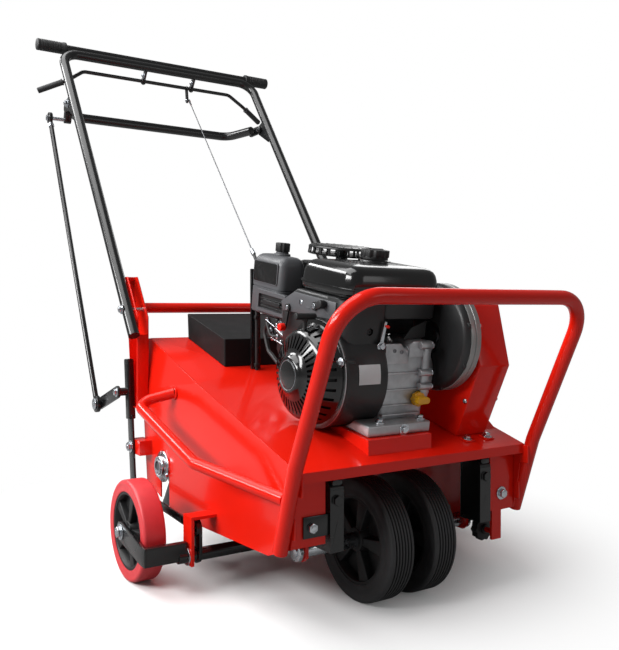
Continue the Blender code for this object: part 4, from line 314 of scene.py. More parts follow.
def hexBar(width, depth):
    shape = bmesh.new()
    corner = width * hexCorner
    bmesh.ops.create_cone(shape, cap_ends=True, segments=6, radius1=corner, radius2=corner, depth=depth)
    return shape


def hexHead(place, direction, width=0.013, height=0.0055, washer=True, stud=0.0):
    head = hexBar(width, height)
    bmesh.ops.translate(head, vec=(0, 0, height / 2 + (0.0012 if washer else 0)), verts=head.verts)
    soften(head, height * 0.14, 2)
    parts = [finishShape(head)]
    if washer:
        parts.append(drum(width * 0.82, 0, 0.0013, "Z", bevel=0.0003, steps=28))
    if stud:
        parts.append(drum(width * 0.3, 0, height + stud, "Z", bevel=0.0008, steps=20))
    return turnTo(joined(*parts), direction, place)


def bolt(*values):
    return hexHead(*values), "brightZinc"


def capScrew(place, direction, width=0.01, height=0.004):
    profile = [(0, 0), (0, width / 2), (height * 0.7, width / 2), (height, width * 0.36),
        (height, width * 0.22), (height * 0.45, width * 0.2), (height * 0.45, 0)]
    return turnTo(spun(profile, "Z", steps=24), direction, place)


def weldBead(centre, direction, radius, thick=0.0028):
    arc = [(thick * math.cos(a), radius + thick * math.sin(a)) for a in (0.0, 1.05, 2.09, 3.14, 4.19, 5.24)]
    return turnTo(spun(arc, "Z", steps=40), direction, centre)


def strap(start, end, half, roundSteps=10):
    angle = math.atan2(end[1] - start[1], end[0] - start[0])
    bows = (end, angle - math.pi / 2), (start, angle + math.pi / 2)
    return [polar(half, first + math.pi * i / roundSteps, centre)
        for centre, first in bows for i in range(roundSteps + 1)]


def scallop(radius, depth, lobes, centre=(0, 0), steps=10):
    turns = [2 * math.pi * i / (lobes * steps) for i in range(lobes * steps)]
    return [polar(radius + depth * math.cos(lobes * turn), turn, centre) for turn in turns]


def rowRound(make, count, axis="X", centre=(0, 0, 0), start=0.0):
    parts = []
    for i in range(count):
        part = make()
        turn = Matrix.Rotation(start + 2 * math.pi * i / count, 4, axis)
        bmesh.ops.transform(part, matrix=Matrix.Translation(centre) @ turn, verts=part.verts)
        parts.append(part)
    return joined(*parts)


def carved(shape, cutter):
    objects = []
    for part in (shape, cutter):
        mesh = bpy.data.meshes.new("carve")
        part.to_mesh(mesh)
        part.free()
        made = bpy.data.objects.new("carve", mesh)
        bpy.context.scene.collection.objects.link(made)
        objects.append(made)
    change = objects[0].modifiers.new("cut", "BOOLEAN")
    change.operation = "DIFFERENCE"
    change.solver = "EXACT"
    change.object = objects[1]
    mesh = bpy.data.meshes.new_from_object(objects[0].evaluated_get(bpy.context.evaluated_depsgraph_get()))
    result = bmesh.new()
    result.from_mesh(mesh)
    for made in objects:
        bpy.data.meshes.remove(made.data)
    bpy.data.meshes.remove(mesh)
    bmesh.ops.remove_doubles(result, verts=result.verts, dist=2 * mergeReach)
    bmesh.ops.dissolve_degenerate(result, edges=result.edges, dist=mergeReach)
    return result


# The finish of a shape that comes without its own, by the slot of its piece.
slotFinish = {"red_paint": "signalRedEnamel", "black_paint": "blackPowderCoat", "zinc": "brightZinc",
    "steel": "temperedSteel", "cast_aluminium": "dieCastAluminium", "gloss_plastic": "tankPolyethylene",
    "black_plastic": "corePolypropylene", "grey_plastic": "charcoalPolypropylene",
    "yellow_plastic": "yellowNylon", "rubber": "gripVinyl", "red_tyre": "castPolyurethane"}


def buildPiece(name, shapes, slot, replaces=(), body="chassis", place=None):
    mesh = bpy.data.meshes.new(name)
    parts = []
    for item in shapes:
        shape, finish = item if isinstance(item, tuple) else (item, slotFinish[slot])
        found = mesh.materials.find(finish)
        if found < 0:
            mesh.materials.append(makeFinish(finish))
            found = len(mesh.materials) - 1
        for face in shape.faces:
            face.material_index = found
        if place is not None:
            bmesh.ops.transform(shape, matrix=place, verts=shape.verts)
        parts.append(shape)
    whole = joined(*parts)
    whole.to_mesh(mesh)
    whole.free()
    mesh.shade_smooth()
    mesh.set_sharp_from_angle(angle=math.radians(creaseAngle))
    piece = bpy.data.objects.new(name, mesh)
    bpy.context.scene.collection.objects.link(piece)
    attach(piece, body)
    if replaces:
        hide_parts(*replaces)


# The camera stands where the photograph was taken, low on the machine's right front.
view = {"place": (-0.887, -1.554, 0.522), "ahead": (0.542, 0.8401, -0.0229), "lens": 43.46, "sensor": 36.0,
    "near": 0.05}
cameraData = bpy.data.cameras.new("photoCamera")
cameraData.lens = view["lens"]
cameraData.sensor_width = view["sensor"]
cameraData.clip_start = view["near"]
camera = bpy.data.objects.new("photoCamera", cameraData)
camera.location = view["place"]
camera.rotation_euler = Vector(view["ahead"]).to_track_quat("-Z", "Y").to_euler()
bpy.context.scene.collection.objects.link(camera)
bpy.context.scene.camera = camera

# Plain studio: a pale sweep of floor under soft lamps, with the key on the machine's right.
studio = {"floorRadius": 9.0, "floor": "F4F4F4", "bounce": "8C8C8C", "fade": (0.38, 0.88),
    "fillStrength": 0.22, "gloss": 0.25, "lamps": {
        "keyLamp": {"place": (-3.0, 0.1, 1.9), "target": (0, -0.1, 0.35), "size": (2.6, 0.7), "power": 105},
        "topLamp": {"place": (-1.1, 0.4, 2.8), "target": (0, 0, 0.3), "size": (2.6, 2.2), "power": 66},
        "rimLamp": {"place": (2.4, 1.9, 2.0), "target": (0, 0, 0.4), "size": (1.2, 1.2), "power": 9},
        "backLamp": {"place": (-1.5, 2.3, 2.5), "target": (0, 0.1, 0.5), "size": (1.8, 0.5), "power": 34},
        "frontLamp": {"place": (1.3, -3.2, 1.2), "target": (0, -0.3, 0.3), "size": (1.0, 1.0), "power": 4}}}


def buildStudio():
    shape = bmesh.new()
    bmesh.ops.create_circle(shape, cap_ends=True, segments=96, radius=studio["floorRadius"])
    mesh = bpy.data.meshes.new("studioFloor")
    shape.to_mesh(mesh)
    shape.free()
    floor = bpy.data.objects.new("studioFloor", mesh)
    floor.location.z = cadBox[0][2] - 0.0005
    bpy.context.scene.collection.objects.link(floor)
    paint = bpy.data.materials.new("studioPaper")
    paint.use_nodes = True
    tree = paint.node_tree
    tree.nodes.clear()
    place = addNode(tree, "TexCoord").outputs["Object"]
    reach = addNode(tree, "VectorMath", {"operation": "LENGTH"}, {0: place})
    near, far = studio["fade"]
    fade = addNode(tree, "MapRange",
        {"interpolation_type": "SMOOTHSTEP", "From Min": near, "From Max": far},
        {"Value": reach.outputs["Value"]})
    paths = addNode(tree, "LightPath")
    gloss = addNode(tree, "Math", {"operation": "MULTIPLY", 1: studio["gloss"]},
        {0: paths.outputs["Is Glossy Ray"]})
    seen = addNode(tree, "Math", {"operation": "MAXIMUM"},
        {0: paths.outputs["Is Camera Ray"], 1: gloss.outputs[0]})
    share = addNode(tree, "Math", {"operation": "MULTIPLY"},
        {0: fade.outputs["Result"], 1: seen.outputs[0]})
    paper = addNode(tree, "Mix", {"data_type": "RGBA"}, {0: paths.outputs["Is Camera Ray"]})
    paper.inputs[6].default_value = toLinear(studio["bounce"])
    paper.inputs[7].default_value = toLinear(studio["floor"])
    matt = addNode(tree, "BsdfDiffuse", None, {"Color": paper.outputs[2]})
    glow = addNode(tree, "Emission", {"Color": (1, 1, 1, 1), "Strength": 1.0})
    mixed = addNode(tree, "MixShader", None,
        {0: share.outputs[0], 1: matt.outputs["BSDF"], 2: glow.outputs["Emission"]})
    addNode(tree, "OutputMaterial", None, {"Surface": mixed.outputs["Shader"]})
    floor.data.materials.append(paint)

    world = bpy.data.worlds.new("studioWorld")
    world.use_nodes = True
    tree = world.node_tree
    tree.nodes.clear()
    paths = addNode(tree, "LightPath")
    seen = addNode(tree, "Math", {"operation": "MAXIMUM"},
        {0: paths.outputs["Is Camera Ray"], 1: paths.outputs["Is Transmission Ray"]})
    strength = addNode(tree, "MapRange", {"To Min": studio["fillStrength"], "To Max": 1.0},
        {"Value": seen.outputs[0]})
    sky = addNode(tree, "Background", {"Color": (1, 1, 1, 1)}, {"Strength": strength.outputs["Result"]})
    addNode(tree, "OutputWorld", None, {"Surface": sky.outputs["Background"]})
    bpy.context.scene.world = world

    for name, lamp in studio["lamps"].items():
        data = bpy.data.lights.new(name, "AREA")
        data.shape = "RECTANGLE"
        data.size, data.size_y = lamp["size"]
        data.energy = lamp["power"]
        made = bpy.data.objects.new(name, data)
        made.location = lamp["place"]
        way = Vector(lamp["target"]) - Vector(lamp["place"])
        made.rotation_euler = way.to_track_quat("-Z", "Y").to_euler()
        bpy.context.scene.collection.objects.link(made)
    bpy.context.scene.view_settings.view_transform = "Standard"


buildStudio()
print("studio and camera ready")


# Wheels
frontWheel = {"y": -0.436, "z": 0.11, "radius": 0.11, "seat": 0.078, "inner": 0.023, "outer": 0.073,
    "shoulder": 0.006, "grooves": 6, "grooveWidth": 0.003, "grooveDepth": 0.003, "bore": 0.0103,
    "spokes": 5, "spokeWidth": (0.013, 0.028), "rim": 0.006, "hub": 0.021}
rearWheel = {"y": -0.117, "z": 0.096, "radius": 0.096, "seat": 0.074, "inner": 0.332, "outer": 0.376,
    "shoulder": 0.006, "grooves": 0, "grooveWidth": 0.0, "grooveDepth": 0.0, "bore": 0.0083, "spokes": 5,
    "spokeWidth": (0.01, 0.02), "rim": 0.006, "hub": 0.018}


def mirrored(half, middle):
    return half + [(2 * middle - u, r) for u, r in reversed(half)]


def tyreShape(w, side):
    shoulder, low, high, seat, radius = w["shoulder"], w["inner"], w["outer"], w["seat"], w["radius"]
    wall = [(low + 0.001, seat), (low, seat + 0.004), (low + 0.0012, seat + 0.008), (low, seat + 0.014)]
    arc = [(low + shoulder * (1 - math.cos(a)), radius - shoulder * (1 - math.sin(a)))
        for a in (0.0, 0.4, 0.8, 1.2, math.pi / 2)]
    tread = []
    width = high - low - 2 * shoulder
    for i in range(w["grooves"]):
        middle = low + shoulder + width * (i + 0.5) / w["grooves"]
        half, floor = w["grooveWidth"] / 2, radius - w["grooveDepth"]
        tread += [(middle - half, radius), (middle - half * 0.6, floor), (middle + half * 0.6, floor),
            (middle + half, radius)]
    far = [(low + high - u, r) for u, r in reversed(wall + arc)]
    return spun([(side * u, r) for u, r in wall + arc + tread + far], "X", (0, w["y"], w["z"]), 120)


def coreShape(w, side):
    low, high, seat, hub = w["inner"] + 0.002, w["outer"] - 0.002, w["seat"], w["hub"]
    middle = (low + high) / 2
    inner = seat - w["rim"]
    half = [(low + 0.001, w["bore"]), (low + 0.001, hub - 0.001), (low + 0.003, hub),
        (middle - 0.005, hub + 0.003), (middle - 0.005, inner - 0.003), (low + 0.001, inner),
        (low, inner + 0.001), (low, seat - 0.0004)]
    shell = spun([(side * u, r) for u, r in mirrored(half, middle)], "X", (0, w["y"], w["z"]), 96)

    def spoke():
        near, far = w["spokeWidth"]
        web = [(-near / 2, hub - 0.004), (near / 2, hub - 0.004), (far / 2, inner + 0.002),
            (-far / 2, inner + 0.002)]
        return slab(web, *span(side, low + 0.003, high - 0.0025), 0.0016, 3)

    return joined(shell, rowRound(spoke, w["spokes"], "X", (0, w["y"], w["z"]), 0.3))


def buildWheels():
    kinds = ("front", frontWheel, "tyreRubber", "rubber"), ("rear", rearWheel, "castPolyurethane", "red_tyre")
    for side in (right, left):
        for end, w, finish, slot in kinds:
            word = "_" + sideWord[side]
            body = end + "_wheel" + word
            tyre, core = [(tyreShape(w, side), finish)], [coreShape(w, side)]
            buildPiece(end + "Tyre" + word, tyre, slot, [end + "_tyre" + word], body)
            buildPiece(end + "Core" + word, core, "black_plastic", [end + "_wheel_core" + word], body)


buildWheels()
print("wheels done")


# Bent tubes of the frame
hoop = {"radius": 0.0125, "bend": 0.07, "sideX": 0.2628, "foot": (-0.501, 0.136), "kink": (-0.546, 0.274),
    "topX": 0.262, "top": (-0.667, 0.538), "pads": ((-0.513, 0.175), (-0.535, 0.246)), "padX": 0.2495}
sideGuard = {"radius": 0.011, "bend": 0.035, "wall": 0.2503, "reach": 0.318,
    "route": ((-0.06, 0.347), (-0.018, 0.326), (-0.3, 0.25), (-0.493, 0.217))}


def buildTubes():
    half = [(hoop["sideX"], *hoop["foot"]), (hoop["sideX"], *hoop["kink"]), (hoop["topX"], *hoop["top"])]
    shapes = [pipe(rounded(bothSides(half), hoop["bend"], 14), hoop["radius"], sides=32)]
    for side in (right, left):
        for y, z in hoop["pads"]:
            x = side * hoop["padX"]
            low, high = (x - 0.0022, y - 0.013, z - 0.017), (x + 0.0022, y + 0.013, z + 0.017)
            shapes.append(block(low, high, 0.002))
    buildPiece("guardHoop", shapes, "red_paint", ["front_guard_hoop"])
    wall, reach, radius = sideGuard["wall"], sideGuard["reach"], sideGuard["radius"]
    for side in (right, left):
        points = [(side * x, *yz) for x, yz in zip((wall, reach, reach, wall), sideGuard["route"])]
        shapes = [pipe(points, radius, sideGuard["bend"], 10, 28)]
        for near, far in ((points[0], points[1]), (points[3], points[2])):
            way = Vector(far) - Vector(near)
            shapes.append(weldBead(Vector(near) + way.normalized() * 0.002, (side, 0, 0), radius + 0.0006))
        word = sideWord[side]
        buildPiece("sideGuard_" + word, shapes, "red_paint", ["side_guard_" + word])


buildTubes()
print("guard tubes done")

# Handle, its controls and the lift linkage
handle = {"radius": 0.0125, "x": 0.29, "foot": (0.067, 0.46), "top": (0.608, 1.211), "bend": 0.045,
    "barX": 0.35, "barRadius": 0.011, "barReach": 0.0225, "barTurn": 46}
grip = {"inner": 0.275, "radius": 0.0155, "collar": 0.0165, "ribs": 9}
clutch = {"y": 0.632, "z": 1.176, "barX": 0.225, "elbow": (0.27, 0.622, 1.143), "tip": (0.34, 0.652, 1.112),
    "rod": 0.005, "sleeve": 0.0078, "straps": (-0.05, 0.1), "armX": 0.085, "arm": (0.627, 1.138),
    "sheathTop": (-0.078, -0.073, 0.644), "sheathEnd": (-0.37498, 0.27544),
    "hangerX": 0.134 - 0.0035 - 0.0003, "deckLine": (-0.537, 0.265, 0.29193), "underDeck": 0.03}
bail = {"y": 0.547, "z": 1.06, "armX": 0.27, "barX": 0.24, "bar": (0.667, 1.055), "rodTop": (0.634, 1.036),
    "rodX": 0.316, "rodRadius": 0.006}
lever = {"pivot": (0.11, 0.215), "top": (0.126, 0.395), "arm": (0.242, 0.297), "foot": (0.1, 0.13),
    "x": 0.2805, "linkX": 0.2865, "thick": 0.005, "pin": 0.005}
rocker = {"y": -0.233, "z": 0.066, "radius": 0.012, "pinZ": 0.116, "hangerX": 0.298, "armX": 0.384}


def legY(z):
    (footY, footZ), (topY, topZ) = handle["foot"], handle["top"]
    return topY - (topZ - z) * ((topY - footY) / (topZ - footZ))


def barCentre():
    return polar(handle["barReach"], math.radians(handle["barTurn"]), handle["top"])


def buildHandle():
    half = [(handle["x"], *handle["foot"]), (handle["x"], *handle["top"])]
    shapes = [pipe(rounded(bothSides(half), handle["bend"], 14), handle["radius"], sides=32)]
    barX, barRadius = handle["barX"], handle["barRadius"]
    y, z = barCentre()
    shapes.append(pipe([(-barX, y, z), (barX, y, z)], barRadius, sides=28))
    (topY, topZ), bailY, bailZ = handle["top"], bail["y"], bail["z"]
    base = legY(bailZ)
    ear = [(base - 0.004, bailZ - 0.045), (bailY + 0.004, bailZ - 0.014), (bailY + 0.014, bailZ - 0.004),
        (bailY + 0.014, bailZ + 0.008), (bailY + 0.004, bailZ + 0.014), (base + 0.01, bailZ + 0.034)]
    for side in (right, left):
        x = side * handle["x"]
        shapes.append(slab(ear, x - 0.0025, x + 0.0025, 0.001))
        for way in (-1, 1):
            middle = x + side * way * 0.014 - side * 0.045
            shapes.append(pin(0.004, middle - 0.012, middle + 0.012, (topY + 0.007, topZ + 0.008), 0.002, 16))
        shapes.append(bolt((x + side * 0.003, bailY, bailZ), (side, 0, 0), 0.015, 0.006, True, 0.004))
    top, hinge = (topY + 0.004, topZ - 0.0085), (clutch["y"], clutch["z"])
    for x in clutch["straps"]:
        middle = (x - 0.002, (top[0] + hinge[0]) / 2, (top[1] + hinge[1]) / 2)
        shapes += [slab(strap(top, hinge, 0.01), x - 0.002, x + 0.002, 0.0006),
            bolt(middle, (-1, 0, 0), 0.009, 0.004, True, 0.003),
            pin(0.0086, x - 0.005, x + 0.005, hinge, 0.001, 28)]
    buildPiece("handleFrame", shapes, "black_paint", ["handle_frame"])

    inner, radius, collar, ribs = (grip[key] for key in ("inner", "radius", "collar", "ribs"))
    outer = barX + 0.0003
    profile = [(inner, barRadius + 0.0003), (inner, collar - 0.001), (inner + 0.001, collar),
        (inner + 0.006, collar), (inner + 0.008, radius + 0.0006)]
    length = outer - inner - 0.016
    width = length / ribs
    for i in range(ribs):
        u = inner + 0.01 + length * i / ribs
        profile += [(u, radius), (u + width * 0.7, radius), (u + width * 0.78, radius - 0.0007),
            (u + width * 0.92, radius - 0.0007)]
    profile += [(outer - 0.004, radius), (outer + 0.0005, radius), (outer + 0.0022, radius - 0.0015),
        (outer + 0.003, radius - 0.004), (outer + 0.003, 0), (outer, 0), (outer, barRadius + 0.0003)]
    for side in (right, left):
        shape = spun([(side * u, r) for u, r in profile], "X", (0, y, z), 48)
        buildPiece("handGrip_" + sideWord[side], [shape], "rubber", ["grip_" + sideWord[side]])


def buildClutch():
    tip, elbow, armX = Vector(clutch["tip"]), Vector(clutch["elbow"]), clutch["armX"]
    route = bothSides([tip, elbow, Vector((clutch["barX"], clutch["y"], clutch["z"]))])
    shapes = [pipe(route, clutch["rod"], 0.025, 8, 20)]
    way = (tip - elbow).normalized()
    sleeve = clutch["sleeve"]
    for side in (right, left):
        ends = [Vector((side * p.x, p.y, p.z)) for p in (elbow + way * 0.016, tip + way * 0.002)]
        along = ends[1] - ends[0]
        collar = drum(sleeve + 0.001, -0.002, 0.002, "Z", bevel=0.0008, steps=24)
        cap = drum(sleeve - 0.0006, 0, 0.0018, "Z", bevel=0.0012, steps=24)
        pads = pipe(ends, sleeve, sides=24), turnTo(collar, along, ends[0]), turnTo(cap, along, ends[1])
        shapes += [(shape, "gripVinyl") for shape in pads]
    arm = strap((clutch["y"], clutch["z"]), clutch["arm"], 0.007)
    shapes += [slab(arm, armX - 0.002, armX + 0.002, 0.0006),
        bolt((armX - 0.002, *clutch["arm"]), (-1, 0, 0), 0.007, 0.003, False)]
    buildPiece("clutchBail", shapes, "black_paint", ["clutch_bail"], "clutch_bail")

    top, foot = Vector((armX + 0.0073, *clutch["arm"])), Vector(clutch["sheathTop"])
    down = (foot - top).normalized()
    shapes = [pipe([top - down * 0.004, foot + down * 0.032], 0.0014, sides=12),
        (pipe([top - down * 0.006, top + down * 0.006], 0.0035, sides=20), "brightZinc"),
        (pipe([top + down * 0.004, top + down * 0.03], 0.0026, sides=16), "brightZinc")]
    buildPiece("clutchWire", shapes, "steel", ["clutch_wire"], "clutch_wire")
    corner, lastX = foot + down * 0.044, clutch["hangerX"]
    deckY, deckLow, rise = clutch["deckLine"]
    under = deckLow + (corner.y - deckY) * rise - clutch["underDeck"]
    pivotY, pivotZ = clutch["sheathEnd"]
    route = [foot, corner, (corner.x, corner.y, under), (lastX, corner.y - 0.03, under - 0.012),
        (lastX, pivotY + 0.01, pivotZ - 0.004)]
    ferrule = spun([(0, 0.0021), (0, 0.0044), (0.004, 0.0048), (0.018, 0.0048), (0.02, 0.004),
        (0.02, 0.0021)], "Z", steps=24)
    shapes = [pipe(route, 0.0035, 0.014, 8, 18), (turnTo(ferrule, down, foot - down * 0.001), "brightZinc")]
    buildPiece("clutchSheath", shapes, "rubber", ["clutch_sheath"])


def buildLift():
    bailPin, armX, rodX, pinRadius = (bail["y"], bail["z"]), bail["armX"], -bail["rodX"], lever["pin"]
    route = bothSides([(armX, bail["y"] + 0.02, bail["z"]), (bail["barX"], *bail["bar"])])
    shapes = [pipe(route, 0.0125, 0.04, 12, 30)]
    lug = strap(bailPin, (bail["y"] + 0.046, bail["z"] - 0.001), 0.012)
    for side in (right, left):
        outer = side * (handle["x"] - 0.0028)
        low, high = sorted((outer - side * 0.01, outer + side * 0.009))
        shapes += [slab(lug, *sorted((outer, outer - side * 0.006)), 0.001),
            (pin(pinRadius, low, high, bailPin, 0.0, 24), "brightZinc")]
    rodTop = bail["rodTop"]
    web = strap(rodTop, (rodTop[0] - 0.008, bail["z"] - 0.004), 0.009)
    shapes += [slab(web, -armX - 0.008, -armX + 0.01, 0.001),
        (pin(pinRadius, rodX - 0.01, -armX + 0.006, rodTop, 0.0, 24), "brightZinc"),
        bolt((rodX - 0.0052, *rodTop), (-1, 0, 0), 0.014, 0.0045, False)]
    buildPiece("liftBail", shapes, "black_paint", ["lift_bail"], "lift_bail")

    top, foot = Vector((rodX, *rodTop)), Vector((rodX, *lever["arm"]))
    way = (foot - top).normalized()
    shapes = [pipe([top + way * 0.012, foot - way * 0.0178], bail["rodRadius"], sides=20)]
    for place, outer, bore in ((top, 0.0155, 0.0053), (foot, 0.0192, 0.0115)):
        shapes.append(pin(outer, place.x - 0.0044, place.x + 0.0044, (place.y, place.z), 0.001, 40, bore))
    nut = drum(0.0082, 0, 0.009, "Z", bevel=0.0008, steps=6)
    shapes.append((turnTo(nut, way, top + way * 0.02), "brightZinc"))
    buildPiece("liftRod", shapes, "black_paint", ["lift_rod"], "lift_rod")

    x, linkX, half = -lever["x"], -lever["linkX"], lever["thick"] / 2
    low, high = x - half, x + half
    pivot, topEnd, foot, arm = lever["pivot"], lever["top"], lever["foot"], lever["arm"]
    rise = (Vector(topEnd) - Vector(pivot)).normalized()
    side = Vector((rise.y, -rise.x)) * 0.01
    tubeTop, tubeFoot = Vector(topEnd) + rise * 0.012, Vector(pivot) + rise * 0.06
    square = [tuple(p) for p in (tubeTop + side, tubeTop - side, tubeFoot - side, tubeFoot + side)]
    share = 0.06 / math.hypot(topEnd[0] - pivot[0], topEnd[1] - pivot[1])
    elbow = (topEnd[0] + (pivot[0] - topEnd[0]) * share, topEnd[1] + (pivot[1] - topEnd[1]) * share)
    outer = rodX + 0.0048
    shapes = [slab(square, x - 0.008, x + 0.008, 0.0022, 3),
        slab(strap(tuple(tubeFoot), pivot, 0.0135), low, high, 0.0008),
        slab(strap(pivot, foot, 0.0135), low + 0.0002, high - 0.0002, 0.0008),
        slab(strap(elbow, arm, 0.0135), outer, outer + 0.006, 0.0009),
        pin(0.009, outer + 0.001, high - 0.001, elbow, 0.0, 30),
        (pin(pinRadius, rodX - 0.0085, outer + 0.002, arm, 0.0, 24), "brightZinc"),
        (pin(0.013, rodX - 0.008, rodX - 0.0048, arm, 0.0008, 36), "brightZinc"),
        bolt((outer, *elbow), (-1, 0, 0), 0.013, 0.005),
        (pin(pinRadius, linkX - 0.0055, low + 0.001, foot, 0.0, 24), "brightZinc"),
        bolt((linkX - 0.0028, *foot), (-1, 0, 0), 0.012, 0.004, False)]
    buildPiece("liftLever", shapes, "black_paint", ["lift_lever"], "lift_lever")

    low, high = linkX - half, linkX + half
    foot, eye = Vector(foot), Vector((rocker["y"], rocker["pinZ"]))
    way = (eye - foot).normalized()
    web = strap(foot + way * 0.014, eye - way * 0.0205, 0.008)
    shapes = [slab(web, low + 0.0005, high - 0.0005, 0.0008),
        pin(0.012, low, high, foot, 0.0008, 36, 0.0053), pin(0.0165, low, high, eye, 0.0008, 40, 0.0115)]
    buildPiece("liftLink", shapes, "black_paint", ["lift_link"], "lift_link")


def buildCarriage():
    y, z, armX, pinZ = rocker["y"], rocker["z"], rocker["armX"], rocker["pinZ"]
    reach, wheelX, linkX = rocker["hangerX"] + 0.003, rearWheel["inner"], -lever["linkX"]
    shapes = [pin(rocker["radius"], -reach - 0.02, reach + 0.02, (y, z), 0.001, 40)]
    hubY, hubZ = hub = rearWheel["y"], rearWheel["z"]
    barTop, barFoot = z + 0.016 + 0.012, z + 0.016 - 0.022
    outline = [(y - 0.009, barFoot), (y + 0.012, barFoot), (hubY + 0.006, hubZ - 0.018),
        (hubY + 0.016, hubZ - 0.012), (hubY + 0.02, hubZ), (hubY + 0.018, hubZ + 0.011),
        (hubY + 0.01, hubZ + 0.018), (hubY - 0.008, hubZ + 0.02), (y + 0.012, barTop), (y - 0.009, barTop)]
    for side in (right, left):
        low, high = span(side, reach + 0.003, armX)
        shapes += [block((low, y - 0.009, barFoot), (high, y + 0.004, barTop), 0.0015),
            slab(outline, *span(side, armX - 0.003, armX + 0.003), 0.0012),
            (pin(0.008, *span(side, wheelX - 0.004, armX + 0.004), hub, 0.0, 28), "brightZinc"),
            (pin(0.013, *span(side, wheelX - 0.008, wheelX - 0.003), hub, 0.0008, 32), "brightZinc"),
            bolt((side * (armX + 0.003), *hub), (side, 0, 0), 0.019, 0.007, True, 0.0015),
            (pin(0.017, *span(side, reach + 0.0004, reach + 0.003), (y, z), 0.0006, 32, 0.0121),
                "brightZinc")]
    low, high = linkX + 0.0028, linkX + 0.009
    shapes += [slab(strap((y, z), (y, pinZ), 0.015), low, high, 0.001),
        (pin(lever["pin"], linkX - 0.0055, low + 0.001, (y, pinZ), 0.0, 24), "brightZinc"),
        bolt((linkX - 0.0027, y, pinZ), (-1, 0, 0), 0.012, 0.0045, False),
        weldBead((low - 0.0002, y, z), (-1, 0, 0), rocker["radius"] + 0.001)]
    buildPiece("wheelCarriage", shapes, "black_paint", ["wheel_carriage"], "wheel_carriage")


buildHandle()
buildClutch()
buildLift()
buildCarriage()
print("handle, clutch and lift linkage done")

# Engine: shapes are made in the tilted frame of the crank axis (x, rearwards, up), then turned into place.
engine = {"y": -0.403, "z": 0.405, "tilt": 9.0, "shroudFront": -0.069, "drum": 0.096, "inner": -0.0455,
    "outer": -0.132, "slots": 36, "sideSlots": 30, "slotWidth": 0.0042, "posts": (35, 155, 275),
    "wall": 0.0028, "flank": -0.1275, "bend": 0.024, "gripHeight": 0.1021, "gripEnds": (-0.182, -0.144)}
tank = {"low": (-0.12, -0.068), "high": (0.083, 0.106), "base": 0.14, "top": 0.198, "corner": 0.026,
    "seam": 0.154, "neck": (0.021, 0.062), "neckRadius": 0.02}
guard = {"centre": (0.022, 0.171), "base": 0.196, "radius": 0.069, "top": 0.216, "windows": 22}
cleaner = {"low": (-0.11, 0.182), "high": (-0.05, 0.3), "base": 0.066, "top": 0.186, "corner": 0.015,
    "knob": (0.1936, 0.2108)}
gearCase = {"a": -0.04, "b": 0.069, "body": 0.098, "rim": 0.1, "inner": 0.0868, "outer": 0.122, "bolts": 8}
controls = {"face": -0.1303, "throttlePost": (0.02, 0.117), "chokePost": (0.11, 0.1), "screw": (0.07, 0.116),
    "plugSeat": -0.0753}
engineTurn = Matrix.Rotation(math.radians(engine["tilt"]), 4, "X")
engineMatrix = Matrix.Translation((0, engine["y"], engine["z"])) @ engineTurn


def roundRect(low, high, radius, inset=0.0, steps=6):
    radius = max(radius - inset * 0.4, 0.001)
    x0, y0, x1, y1 = low[0] + inset, low[1] + inset, high[0] - inset, high[1] - inset
    corners = [(x1 - radius, y1 - radius, 0), (x0 + radius, y1 - radius, 90),
        (x0 + radius, y0 + radius, 180), (x1 - radius, y0 + radius, 270)]
    return [polar(radius, math.radians(first + 90 * i / steps), (cx, cy))
        for cx, cy, first in corners for i in range(steps + 1)]


def moulded(low, high, radius, rise):
    return loft([(z, roundRect(low, high, radius, inset)) for z, inset in rise])


def loft(sections):
    shape = bmesh.new()
    rings = [[shape.verts.new((x, y, z)) for x, y in outline] for z, outline in sections]
    count = len(rings[0])
    for lower, upper in zip(rings, rings[1:]):
        for i in range(count):
            shape.faces.new((lower[i], lower[(i + 1) % count], upper[(i + 1) % count], upper[i]))
    for ring in (rings[0], rings[-1]):
        shape.faces.new(ring)
    return finishShape(shape)


def hexCutter(place, direction, width, depth):
    return turnTo(hexBar(width, depth), direction, place)


def addEngine(name, shapes, slot, replaces=(), body="chassis"):
    buildPiece(name, shapes, slot, replaces, body, engineMatrix)


def buildTank():
    low, high, corner, base, top, seam = (tank[key]
        for key in ("low", "high", "corner", "base", "top", "seam"))
    a, b = tank["neck"]
    rise = [(base, 0.006), (base + 0.003, 0.002), (base + 0.008, 0.0), (0.166, 0.0008), (0.176, 0.0022),
        (0.184, 0.0045), (0.1895, 0.008), (0.193, 0.0125), (0.195, 0.018), (0.1962, 0.026), (0.197, 0.042)]
    bead = [(seam, -0.0022), (seam + 0.0006, -0.0028), (seam + 0.0032, -0.0028), (seam + 0.0038, -0.0022)]
    skirt = [(0.1065, 0.004), (0.108, 0.0012), (0.1105, 0.0), (0.16, 0.0)]
    shapes = [moulded(low, high, corner, rise), moulded(low, high, corner + 0.002, bead),
        drum(0.031, 0.19, top + 0.0008, "Z", (a, b, 0), 0.0015, 48),
        drum(tank["neckRadius"], top - 0.004, top + 0.006, "Z", (a, b, 0), 0.0008, 40),
        (moulded((engine["inner"] + 0.001, low[1] + 0.001), (0.071, -0.03), 0.009, skirt), "shroudNylon")]
    addEngine("fuelTank", shapes, "gloss_plastic", ["fuel_tank"])

    low, high = top + 0.0063, top + 0.0203
    shapes = [slab(scallop(0.0262, 0.0012, 12, (a, b)), low, high, 0.0015, axis="Z"),
        drum(0.0185, high - 0.001, high + 0.0008, "Z", (a, b, 0), 0.0007, 40),
        block((a - 0.017, b - 0.0035, high - 0.001), (a + 0.017, b + 0.0035, high + 0.0022), 0.001, 2),
        drum(0.0253, low - 0.004, low + 0.002, "Z", (a, b, 0), 0.0005, 40, 0.0206)]
    addEngine("fuelCap", shapes, "black_plastic", ["fuel_cap"], "fuel_cap")


